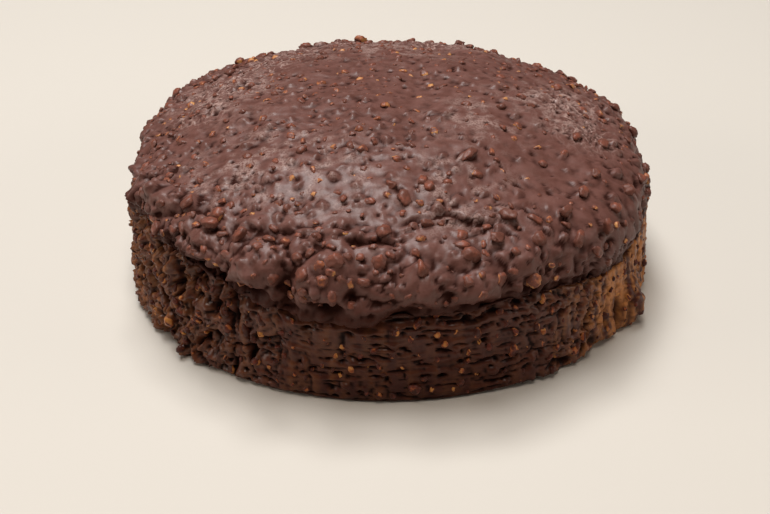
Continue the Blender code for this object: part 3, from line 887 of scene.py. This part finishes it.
POCKETS = (
    (224.3, 35.0, 3.0, 4.6, -6.0), (230.0, 37.5, 4.2, 3.0, -6.4), (219.3, 20.4, 2.4, 2.4, -5.0),
    (238.8, 35.0, 2.6, 3.0, -5.4), (239.0, 27.5, 2.0, 4.0, -4.8), (206.7, 31.7, 3.0, 3.0, -4.8),
    (213.0, 28.0, 2.0, 4.6, -4.6), (204.7, 18.0, 2.2, 3.0, -4.2), (228.0, 23.0, 2.0, 2.8, -4.2),
    (217.5, 40.5, 3.0, 2.6, -5.4), (210.0, 43.5, 2.6, 3.0, -5.0), (200.0, 41.0, 2.6, 3.6, -4.8),
    (221.5, 8.0, 2.6, 2.4, -4.4), (231.5, 13.0, 2.0, 2.2, -3.8), (213.0, 11.0, 2.0, 2.4, -3.8),
    (243.0, 16.0, 2.0, 2.2, -3.6), (234.5, 29.0, 1.6, 3.6, -4.4), (196.0, 27.0, 2.2, 3.4, -4.0),
    (261.0, 35.4, 4.4, 0.8, -2.6), (268.5, 35.7, 5.2, 0.8, -3.0), (282.2, 32.6, 2.6, 0.9, -3.0),
    (285.8, 33.6, 2.2, 1.3, -3.4), (290.6, 34.2, 3.6, 0.8, -2.6), (296.0, 36.0, 2.4, 1.0, -2.8),
    (289.2, 23.4, 1.6, 1.2, -2.8), (284.6, 15.7, 1.2, 0.9, -2.4), (280.8, 10.9, 1.6, 0.9, -2.8),
    (273.3, 23.4, 1.6, 0.8, -2.0), (263.0, 29.3, 1.4, 0.8, -2.0), (270.3, 10.4, 1.0, 1.0, -2.0),
    (304.6, 37.0, 2.4, 1.4, -3.0), (320.8, 11.0, 1.6, 3.0, -3.4), (316.0, 6.3, 2.6, 2.2, -3.4),
    (305.6, 6.3, 2.2, 1.8, -3.2), (301.0, 33.0, 1.8, 1.0, -2.4),
)
HOLES = 110


def side_relief(points, azimuth):
    """Level folds at the front, crags at the two sides and the groove under the rim, in millimetres."""
    height = points[:, 2]
    thin = ease(round_the_cake(azimuth, AMBER_AND_REFLECTION))
    level = (1.0 - 0.7 * round_the_cake(azimuth, CRAGGY)) * (1.0 - 0.75 * thin)
    slanted = points + np.stack([0 * height, 0 * height, 2.0 * bumps(points, 16.0, (4.0, 4.0, 1.0))], axis=1)
    smears = 0.62 * bumps(slanted, (15.0, 15.0, 1.5), (2.0, 5.0, 8.0))
    smears = smears + 0.7 * bumps(slanted, (22.0, 22.0, 4.0), (7.0, 1.0, 4.0))
    drips = 1.2 * bumps(points, (3.0, 3.0, 26.0), (4.0, 1.0, 2.0)) * thin
    slits = -5.0 * np.maximum(bumps(slanted, (8.0, 8.0, 1.4), (9.0, 5.0, 3.0)) - 0.26, 0.0)
    under = LIP_HEIGHT * 1000.0 + round_the_cake(azimuth, LIP_LINE) - 5.2 - height
    groove = -round_the_cake(azimuth, GROOVE) * np.exp(-((under / 2.2) ** 2))
    tucked = -4.5 * ease(-under / 4.5)
    flush = round_the_cake(azimuth, FLUSH)
    return ((smears + slits) * level + drips + crags(points, azimuth) + flush + groove + tucked
            + lobe_lift(azimuth, height) + bulges(azimuth, height, FOOT))


def amber_and_reflection_of(points, azimuth):
    """Where the coat is thin and orange-brown, and, strongest at the right, upright streaks of painted warm
    reflection.
    """
    streaks = 0.6 + 1.5 * bumps(points, (2.4, 2.4, 17.0), (6.0, 2.0, 1.0))
    streaks = streaks + 0.5 * bumps(points, 2.0, (1.0, 7.0, 4.0))
    thick = 0.5 * np.maximum(bulges(azimuth, points[:, 2], FOOT), 0.0)
    return np.clip(round_the_cake(azimuth, AMBER_AND_REFLECTION) * streaks - thick, 0.0, 1.0)


def side_holes(points, seed):
    """Small torn holes, longer than they are tall, in millimetres."""
    rng = np.random.default_rng(seed)
    tree = tree_of(points)
    dent = np.zeros(len(points))
    azimuth = rng.uniform(236.0, 320.0, HOLES)
    distance = rng.uniform(0.004, SIDE["distance"][-1] - 0.004, HOLES)
    centres = on_cake(SIDE, azimuth, distance)
    for k in range(HOLES):
        wide = 0.4 + 2.0 * rng.beta(1.2, 2.4)
        tall = rng.uniform(0.30, 0.80)
        deep = rng.uniform(0.8, 2.6)
        slant = rng.uniform(-0.5, 0.5)
        near = [i for _, i, _ in tree.find_range(centres[k], 0.0052)]
        if not near:
            continue
        local = (points[near] - centres[k]) * 1000.0
        angle = math.radians(azimuth[k])
        x = local @ np.array([-math.sin(angle), math.cos(angle), 0.0])
        y = local[:, 2] - slant * x * 0.5
        dent[near] = np.minimum(dent[near], -deep * np.exp(-((x / wide) ** 4) - (y / tall) ** 4))
    return dent


def build_side():
    azimuth, distance, faces = band_grid(SIDE_AROUND, SIDE_RINGS, SIDE["distance"][-1])
    points = on_cake(SIDE, azimuth, distance)
    where = nearest_of(points, SIDE, side_nuts)
    points = set_back(points, azimuth)
    count = len(points)
    ends = np.array([[0.0, 0.0, 0.030], [0.0, 0.0, 0.0]])
    faces = faces + fan(list(range(SIDE_AROUND)), count)
    faces = faces + fan(list(range(count - SIDE_AROUND, count)), count + 1)
    open_part = ease((points[:, 2] * 1000.0 - 0.2) / 2.2)
    holes = side_holes(points, SEEDS["holes"])
    relief = side_relief(points * 1000.0, azimuth) + holes + bulges(azimuth, points[:, 2] * 1000.0, POCKETS)
    points, outward = shaped(points, relief * open_part, faces, ends)
    proud = 0.50 + 0.40 * round_the_cake(np.array([n[0] for n in side_nuts]), CRAGGY)
    proud[:len(SIDE_FLECKS)] = 1.0
    lift, lying = bed_nuts(points, outward, side_nuts, where, proud, (1.6, 0.75, 0.15), SEEDS["side lie"])
    points = points + outward * (lift * open_part)[:, None] / 1000.0
    points[:, 2] = np.maximum(points[:, 2], 0.0)
    # Painted shade on the front of the side, where the crags are few, deepest towards the foot.
    front = 1.0 - ease(2.0 * round_the_cake(azimuth, CRAGGY))
    thin = ease(round_the_cake(azimuth, AMBER_AND_REFLECTION))
    # Painted shade in the side's hollows, weaker where the coat is thin and orange-brown.
    masks = {"painted_shade_hollows": cavities(relief + lift, (SIDE_RINGS + 1, SIDE_AROUND)) * (1.0 - 0.45 * thin),
             "level": front * (0.50 + 0.50 * ease((0.026 - points[:, 2]) / 0.020)),
             # A thin orange-brown coat, and at the right a painted warm reflection.
             "amber_and_reflection": amber_and_reflection_of(points * 1000.0, azimuth)}
    return coat("side_glaze", points, faces, ends, masks), lying


side_glaze, side_lying = build_side()
print("side coat, triangles:", triangles(side_glaze))

# %% [markdown]
# ## The nuts themselves
# A handful of chopped shapes is made once: a small ball, pulled in to a few flat cuts as a knife makes
# them, with the edges blunted by the film of glaze. Geometry Nodes then puts one of them at each marked
# point, turned and sized by the point's own values, and makes the copies real. A tree like this can be
# reused for any strewn topping. Each shape also carries how high each of its points is, and which cut the
# point lies on, because the film is thin on top and some cuts are bare.

# %% Chopped shapes
CUTS = 9
BLUNTNESS = 30.0


def chopped_shape(name, fineness, rng):
    cuts = []
    for _ in range(CUTS):
        away = Vector((rng.gauss(0.0, 1.0), rng.gauss(0.0, 1.0), rng.gauss(0.0, 1.0))).normalized()
        cuts.append((away, rng.uniform(0.26, 0.42), rng.random()))
    bm = bmesh.new()
    bmesh.ops.create_icosphere(bm, subdivisions=fineness, radius=1.0)
    rng_shift = rng.uniform(0.0, 90.0)
    rises, facets = [], []
    for vert in bm.verts:
        reach = [(0.5, 0.5)]
        for away, depth, drawn in cuts:
            reach.append((depth / max(vert.co.normalized().dot(away), 0.05), drawn))
        blunted = sum(far**-BLUNTNESS for far, _ in reach) ** (-1.0 / BLUNTNESS)
        uneven = 1.0 + 0.24 * noise.noise(vert.co.normalized() * 3.6 + Vector((rng_shift, 0.0, 0.0)))
        vert.co = vert.co.normalized() * blunted * uneven
        rises.append(vert.co.z / 0.4)
        facets.append(min(reach)[1])
    mesh = bpy.data.meshes.new(name)
    bm.to_mesh(mesh)
    bm.free()
    mesh.shade_smooth()
    store(mesh, "rise", np.array(rises))
    store(mesh, "facet", np.array(facets))
    return bpy.data.objects.new(name, mesh)


def chopped_shapes(name, fineness, seed):
    rng = random.Random(seed)
    shapes = bpy.data.collections.new(name)
    for number in range(8):
        shapes.objects.link(chopped_shape(f"{name}_{number}", fineness, rng))
    return shapes


large_shapes = chopped_shapes("large_chopped", 3, SEEDS["large shapes"])
small_shapes = chopped_shapes("small_chopped", 2, SEEDS["small shapes"])


# %% A tree that strews them
def strewing_tree(shapes, material):
    tree = bpy.data.node_groups.new("strewn_nuts", "GeometryNodeTree")
    tree.interface.new_socket("Geometry", in_out="INPUT", socket_type="NodeSocketGeometry")
    size = tree.interface.new_socket("Size", in_out="INPUT", socket_type="NodeSocketFloat")
    size.default_value = 1.0
    tree.interface.new_socket("Geometry", in_out="OUTPUT", socket_type="NodeSocketGeometry")
    add = tree.nodes.new
    join = tree.links.new
    into = add("NodeGroupInput")
    out = add("NodeGroupOutput")
    bits = add("GeometryNodeCollectionInfo")
    bits.inputs["Collection"].default_value = shapes
    bits.inputs["Separate Children"].default_value = True
    bits.inputs["Reset Children"].default_value = True
    named = {}
    for name, kind in (("turn", "FLOAT_VECTOR"), ("bulk", "FLOAT_VECTOR"), ("shape", "INT")):
        named[name] = add("GeometryNodeInputNamedAttribute")
        named[name].data_type = kind
        named[name].inputs["Name"].default_value = name
    turning = add("FunctionNodeEulerToRotation")
    join(named["turn"].outputs["Attribute"], turning.inputs["Euler"])
    scaling = add("ShaderNodeVectorMath")
    scaling.operation = "SCALE"
    join(named["bulk"].outputs["Attribute"], scaling.inputs["Vector"])
    join(into.outputs["Size"], scaling.inputs["Scale"])
    place = add("GeometryNodeInstanceOnPoints")
    place.inputs["Pick Instance"].default_value = True
    join(into.outputs["Geometry"], place.inputs["Points"])
    join(bits.outputs["Instances"], place.inputs["Instance"])
    join(named["shape"].outputs["Attribute"], place.inputs["Instance Index"])
    join(turning.outputs["Rotation"], place.inputs["Rotation"])
    join(scaling.outputs["Vector"], place.inputs["Scale"])
    real = add("GeometryNodeRealizeInstances")
    join(place.outputs["Instances"], real.inputs["Geometry"])
    finish = add("GeometryNodeSetMaterial")
    finish.inputs["Material"].default_value = material
    join(real.outputs["Geometry"], finish.inputs["Geometry"])
    join(finish.outputs["Geometry"], out.inputs["Geometry"])
    return tree, size.identifier


def strewn(name, tree, size_socket, size, places):
    """Runs the tree on points, each a (place, turn, bulk, shape, tone), and keeps the result as a mesh."""
    cloud = bpy.data.meshes.new(name + "_points")
    cloud.from_pydata([tuple(p[0]) for p in places], [], [])
    for key, kind, column, width in (("turn", "FLOAT_VECTOR", 1, 3), ("bulk", "FLOAT_VECTOR", 2, 3),
                                     ("shape", "INT", 3, 1), ("tone", "FLOAT", 4, 1)):
        layer = cloud.attributes.new(key, kind, "POINT")
        values = np.array([p[column] for p in places], dtype=np.int32 if kind == "INT" else np.float32)
        layer.data.foreach_set("vector" if width == 3 else "value", values.ravel())
    holder = bpy.data.objects.new(name + "_points", cloud)
    bpy.context.scene.collection.objects.link(holder)
    modifier = holder.modifiers.new("strew", "NODES")
    modifier.node_group = tree
    modifier[size_socket] = size
    graph = bpy.context.evaluated_depsgraph_get()
    mesh = bpy.data.meshes.new_from_object(holder.evaluated_get(graph))
    bpy.data.objects.remove(holder, do_unlink=True)
    mesh.name = name
    piece = bpy.data.objects.new(name, mesh)
    bpy.context.scene.collection.objects.link(piece)
    return piece


# %% [markdown]
# ## Chocolate, with nodes
# The set glaze is a satin brown with a purple cast. Its colour wanders a little, and it has dull frosted
# patches lightened with painted sheen. Hollows, crease seams and the band by the rim are darkened as painted
# shade. Two effects are made as node groups, so that both coats can use them: thin pale lines of painted
# highlight where the skin was pulled, and fine pores for the bump.

# %% Small helpers for node trees
def node(tree, kind, links=None, **settings):
    made = tree.nodes.new(kind)
    for name, value in settings.items():
        setattr(made, name, value)
    for name, value in (links or {}).items():
        if isinstance(value, bpy.types.NodeSocket):
            tree.links.new(value, made.inputs[name])
        else:
            made.inputs[name].default_value = value
    return made


def noise_of(tree, place, scale, detail):
    links = {"Vector": place, "Scale": scale, "Detail": detail}
    return node(tree, "ShaderNodeTexNoise", links).outputs["Fac"]


def maths(tree, operation, a, b=0.0, clamp=False):
    return node(tree, "ShaderNodeMath", {0: a, 1: b}, operation=operation, use_clamp=clamp).outputs[0]


def ranged(tree, value, low, high, to_low=0.0, to_high=1.0):
    made = node(tree, "ShaderNodeMapRange", {"Value": value, "From Min": low, "From Max": high,
                                             "To Min": to_low, "To Max": to_high})
    made.interpolation_type = "SMOOTHSTEP"
    return made.outputs[0]


def mixed(tree, factor, a, b):
    made = tree.nodes.new("ShaderNodeMix")
    made.data_type = "RGBA"
    for socket, value in ((made.inputs[0], factor), (made.inputs[6], a), (made.inputs[7], b)):
        if isinstance(value, bpy.types.NodeSocket):
            tree.links.new(value, socket)
        else:
            socket.default_value = value
    return made.outputs[2]


def group(name, inputs, outputs):
    tree = bpy.data.node_groups.new(name, "ShaderNodeTree")
    for label, kind, value in inputs:
        socket = tree.interface.new_socket(label, in_out="INPUT", socket_type=kind)
        if value is not None:
            socket.default_value = value
    for label, kind in outputs:
        tree.interface.new_socket(label, in_out="OUTPUT", socket_type=kind)
    return tree, tree.nodes.new("NodeGroupInput").outputs, tree.nodes.new("NodeGroupOutput").inputs


# %% Group: pores and ripples too fine for the mesh
def pores_group():
    tree, given, gives = group("glaze_pores", (("Place", "NodeSocketVector", None),
                                               ("Size", "NodeSocketFloat", 900.0),
                                               ("Depth", "NodeSocketFloat", 0.0002)),
                               (("Normal", "NodeSocketVector"),))
    ripple = node(tree, "ShaderNodeTexNoise", {"Vector": given["Place"], "Scale": given["Size"],
                                               "Detail": 4.0, "Roughness": 0.6})
    bump = node(tree, "ShaderNodeBump", {"Height": ripple.outputs["Fac"], "Distance": given["Depth"],
                                         "Strength": 1.0})
    tree.links.new(bump.outputs[0], gives["Normal"])
    return tree


PORES = pores_group()


# %% Group: thin pale lines of painted highlight, where two layers of noise cross their middle
def lines_group():
    tree, given, gives = group("painted_highlight_lines", (("Place", "NodeSocketVector", None),
                                                 ("Size", "NodeSocketFloat", 95.0),
                                                 ("Width", "NodeSocketFloat", 0.022)),
                               (("Lines", "NodeSocketFloat"),))
    found = None
    for times in (1.0, 1.9):
        size = maths(tree, "MULTIPLY", given["Size"], times)
        wave = node(tree, "ShaderNodeTexNoise", {"Vector": given["Place"], "Scale": size, "Detail": 2.0,
                                                 "Distortion": 0.6}).outputs["Fac"]
        away = maths(tree, "ABSOLUTE", maths(tree, "SUBTRACT", wave, 0.5))
        line = maths(tree, "SUBTRACT", 1.0, maths(tree, "DIVIDE", away, given["Width"]), clamp=True)
        found = line if found is None else maths(tree, "MAXIMUM", found, line)
    tree.links.new(found, gives["Lines"])
    return tree


LINES = lines_group()


# %% The glaze as a material
def glaze_material(name, dark, middle, masks, roughness, gloss, gloss_roughness, ripple):
    """A satin brown under a clear gloss. Each mask is a mesh attribute, the colour that it brings, what it
    adds to the roughness, how much gloss it takes away, and whether it is broken up, into lines or specks."""
    material = bpy.data.materials.new(name)
    material.use_nodes = True
    tree = material.node_tree
    shader = tree.nodes["Principled BSDF"]
    place = node(tree, "ShaderNodeTexCoord").outputs["Object"]
    mottle = noise_of(tree, place, 210.0, 3.0)
    speckle = noise_of(tree, place, 1300.0, 2.0)
    pores = node(tree, "ShaderNodeGroup", node_tree=PORES)
    pores.inputs["Depth"].default_value = ripple
    tree.links.new(place, pores.inputs["Place"])
    colour = mixed(tree, ranged(tree, mottle, 0.3, 0.7), dark, middle)
    rough = maths(tree, "ADD", maths(tree, "MULTIPLY", mottle, 0.14), roughness)
    shine = None
    lines = node(tree, "ShaderNodeGroup", node_tree=LINES)
    tree.links.new(place, lines.inputs["Place"])
    for attribute, brought, rougher, duller, broken in masks:
        share = node(tree, "ShaderNodeAttribute", attribute_name=attribute).outputs["Fac"]
        if broken == "lines":
            share = maths(tree, "MULTIPLY", share, lines.outputs["Lines"])
        elif broken:
            share = maths(tree, "MULTIPLY", share, ranged(tree, speckle, broken, broken + 0.28), clamp=True)
        colour = mixed(tree, share, colour, brought)
        rough = maths(tree, "ADD", rough, maths(tree, "MULTIPLY", share, rougher))
        left = maths(tree, "SUBTRACT", 1.0, maths(tree, "MULTIPLY", share, duller), clamp=True)
        shine = maths(tree, "MULTIPLY", left, gloss if shine is None else shine)
    tree.links.new(colour, shader.inputs["Base Color"])
    tree.links.new(rough, shader.inputs["Roughness"])
    tree.links.new(shine, shader.inputs["Coat Weight"])
    tree.links.new(pores.outputs["Normal"], shader.inputs["Normal"])
    shader.inputs["Specular IOR Level"].default_value = 0.10
    shader.inputs["Coat Roughness"].default_value = gloss_roughness
    return material


# Painted shade for the front of the side, deepest towards the foot.
SIDE_FRONT_PAINTED_SHADE = (0.040, 0.0085, 0.0048, 1.0)
TOP_DARK = (0.104, 0.041, 0.031, 1.0)
TOP_MIDDLE = (0.140, 0.060, 0.048, 1.0)
# A pale dull bloom that also carries painted sheen.
TOP_FROST_AND_SHEEN = (0.268, 0.172, 0.150, 1.0)
# Pale lines of painted highlight.
TOP_PAINTED_HIGHLIGHT = (0.400, 0.270, 0.235, 1.0)
# Painted shade for the band by the rim and the underside of its nose.
TOP_PAINTED_SHADE_UNDER_RIM = (0.050, 0.0140, 0.0085, 1.0)
# Painted shade for hollows and crease seams on the top.
TOP_PAINTED_SHADE = (0.026, 0.0062, 0.0035, 1.0)
SIDE_DARK = (0.054, 0.0135, 0.008, 1.0)
SIDE_MIDDLE = (0.104, 0.028, 0.015, 1.0)
# An orange-brown thin coat, which at the right stands for a painted warm reflection.
SIDE_AMBER_AND_REFLECTION = (0.430, 0.168, 0.052, 1.0)
# Painted shade for the side's hollows.
SIDE_PAINTED_SHADE = (0.012, 0.004, 0.003, 1.0)
# Attribute, colour, added roughness, share of the gloss taken away, and how it is broken up.
# On the top the pale lines are painted highlight, the frosted patches are bloom with painted sheen, and the
# band by the rim and the hollows are painted shade.
TOP_MASKS = (
    ("painted_highlight_zone", TOP_PAINTED_HIGHLIGHT, 0.0, 0.0, "lines"), ("frost_and_sheen", TOP_FROST_AND_SHEEN, 0.08, 0.2, 0.32),
    ("low", TOP_PAINTED_SHADE_UNDER_RIM, 0.0, 0.8, None), ("painted_shade_hollows", TOP_PAINTED_SHADE, 0.4, 1.0, None),
)
# On the side the first mask is painted shade on the front, deepest towards the foot; the second is a thin
# orange-brown coat and, at the right, a painted warm reflection; the last is painted shade in hollows.
SIDE_MASKS = (
    ("level", SIDE_FRONT_PAINTED_SHADE, 0.1, 0.8, None), ("amber_and_reflection", SIDE_AMBER_AND_REFLECTION, 0.0, 0.3, 0.16),
    ("painted_shade_hollows", SIDE_PAINTED_SHADE, 0.3, 0.9, None),
)
top_chocolate = glaze_material("top_chocolate", TOP_DARK, TOP_MIDDLE, TOP_MASKS,
                               roughness=0.41, gloss=0.26, gloss_roughness=0.34, ripple=0.00020)
side_chocolate = glaze_material("side_chocolate", SIDE_DARK, SIDE_MIDDLE, SIDE_MASKS,
                                roughness=0.42, gloss=0.42, gloss_roughness=0.24, ripple=0.00014)
top_glaze.data.materials.append(top_chocolate)
side_glaze.data.materials.append(side_chocolate)


# %% Hazelnut under a film of chocolate
def nut_material(name, gold, brown, film, coat_colour, bare_from):
    material = bpy.data.materials.new(name)
    material.use_nodes = True
    tree = material.node_tree
    shader = tree.nodes["Principled BSDF"]
    place = node(tree, "ShaderNodeTexCoord").outputs["Object"]
    tone, rise, facet = (node(tree, "ShaderNodeAttribute", attribute_name=key).outputs["Fac"]
                         for key in ("tone", "rise", "facet"))
    grain = noise_of(tree, place, 520.0, 4.0)
    drawn = noise_of(tree, place, 160.0, 0.0)
    bareness = maths(tree, "ADD", maths(tree, "ADD", facet, tone), maths(tree, "MULTIPLY", grain, 0.9))
    nut = mixed(tree, ranged(tree, bareness, bare_from + 0.08, bare_from + 0.45), brown, gold)
    filmed = mixed(tree, ranged(tree, drawn, 0.32, 0.62), coat_colour, film)
    thin = maths(tree, "MULTIPLY", ranged(tree, rise, 0.0, 0.9), ranged(tree, grain, 0.34, 0.60))
    colour = mixed(tree, thin, coat_colour, filmed)
    colour = mixed(tree, ranged(tree, bareness, bare_from, bare_from + 0.14), colour, nut)
    tree.links.new(colour, shader.inputs["Base Color"])
    shader.inputs["Roughness"].default_value = 0.40
    shader.inputs["Specular IOR Level"].default_value = 0.10
    shader.inputs["Coat Weight"].default_value = 0.20
    shader.inputs["Coat Roughness"].default_value = 0.34
    bump = node(tree, "ShaderNodeBump", {"Height": grain, "Distance": 0.00045, "Strength": 1.0})
    tree.links.new(bump.outputs[0], shader.inputs["Normal"])
    return material


GOLD = (0.53, 0.255, 0.095, 1.0)
BROWN = (0.29, 0.092, 0.043, 1.0)
TOP_NUT = (0.128, 0.048, 0.034, 1.0)
FILM = (0.215, 0.066, 0.040, 1.0)
SIDE_GOLD = (0.46, 0.19, 0.050, 1.0)
SIDE_BROWN = (0.26, 0.062, 0.020, 1.0)
SIDE_FILM = (0.130, 0.028, 0.016, 1.0)
top_hazelnut = nut_material("top_hazelnut", GOLD, BROWN, FILM, TOP_NUT, bare_from=1.84)
side_hazelnut = nut_material("side_hazelnut", SIDE_GOLD, SIDE_BROWN, SIDE_FILM, SIDE_DARK, bare_from=1.74)
pieces = []
for name, shapes, lying, smallest, largest, material in (
        ("top_nuts", large_shapes, top_lying, 3.4, 99.0, top_hazelnut),
        ("top_grains", small_shapes, top_lying, 0.0, 3.4, top_hazelnut),
        ("side_nuts", small_shapes, side_lying, 0.0, 99.0, side_hazelnut)):
    tree, size_socket = strewing_tree(shapes, material)
    places = chopped_places(lying, smallest, largest, SEEDS["tips"])
    pieces.append(strewn(name, tree, size_socket, 1.0, places))
    print(name, "triangles:", triangles(pieces[-1]))

# %% [markdown]
# ## Floor and light
# Chocolate is mostly seen by what it reflects. A soft far light keeps the floor evenly pale. A lamp over
# the cake and a little behind it gives the top its sheen, and leaves each nut darker on the side that faces
# the viewer. Three weak warm lamps, from the left, the right and the front, open the shadows.

# %% Floor
FLOOR_COLOUR = (0.56, 0.52, 0.465, 1.0)


def add_floor():
    mesh = bpy.data.meshes.new("floor")
    bm = bmesh.new()
    bmesh.ops.create_grid(bm, x_segments=1, y_segments=1, size=6.0)
    bm.to_mesh(mesh)
    bm.free()
    floor = bpy.data.objects.new("floor", mesh)
    floor.location.z = -0.0002
    bpy.context.scene.collection.objects.link(floor)
    material = bpy.data.materials.new("floor_paint")
    material.use_nodes = True
    shader = material.node_tree.nodes["Principled BSDF"]
    shader.inputs["Base Color"].default_value = FLOOR_COLOUR
    shader.inputs["Roughness"].default_value = 0.7
    mesh.materials.append(material)
    return floor


floor = add_floor()


# %% Lights
WARM = (1.0, 0.91, 0.82)


def add_light(name, place, aim, size, power, colour=(1.0, 1.0, 1.0)):
    light = bpy.data.lights.new(name, "AREA")
    light.shape = "RECTANGLE"
    light.size, light.size_y = size
    light.energy = power
    light.color = colour
    lamp = bpy.data.objects.new(name, light)
    lamp.location = place
    lamp.rotation_euler = (Vector(aim) - Vector(place)).to_track_quat("-Z", "Y").to_euler()
    bpy.context.scene.collection.objects.link(lamp)
    return lamp


def add_sky(direction, strength, width):
    """One very soft light from far away, so that the floor stays evenly pale. Its width is in degrees."""
    sky = bpy.data.lights.new("sky", "SUN")
    sky.energy = strength
    sky.angle = math.radians(width)
    lamp = bpy.data.objects.new("sky", sky)
    lamp.rotation_euler = (-Vector(direction)).to_track_quat("-Z", "Y").to_euler()
    bpy.context.scene.collection.objects.link(lamp)


def add_lights():
    add_sky((-0.15, 0.14, 1.0), 1.9, 24.0)
    add_light("behind", (-0.16, 0.40, 1.06), (0.0, 0.0, 0.05), (0.40, 0.26), 7.4)
    add_light("left", (-1.15, -0.30, 0.50), (0.0, 0.0, 0.03), (0.7, 0.5), 4.2, WARM)
    add_light("right", (1.15, -0.25, 0.50), (0.0, 0.0, 0.03), (0.7, 0.5), 2.7, WARM)
    add_light("front", (0.05, -0.50, 1.25), (0.0, 0.0, 0.03), (0.4, 0.3), 4.8, WARM)
    world = bpy.data.worlds.new("studio")
    world.use_nodes = True
    room = world.node_tree.nodes["Background"]
    room.inputs["Color"].default_value = (1.0, 0.94, 0.87, 1.0)
    room.inputs["Strength"].default_value = 0.03
    bpy.context.scene.world = world
    bpy.context.scene.view_settings.view_transform = "Standard"


add_lights()

# %% Hand the pieces over
for piece in (top_glaze, side_glaze, *pieces):
    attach(piece, "root")
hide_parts("glazed_cake")
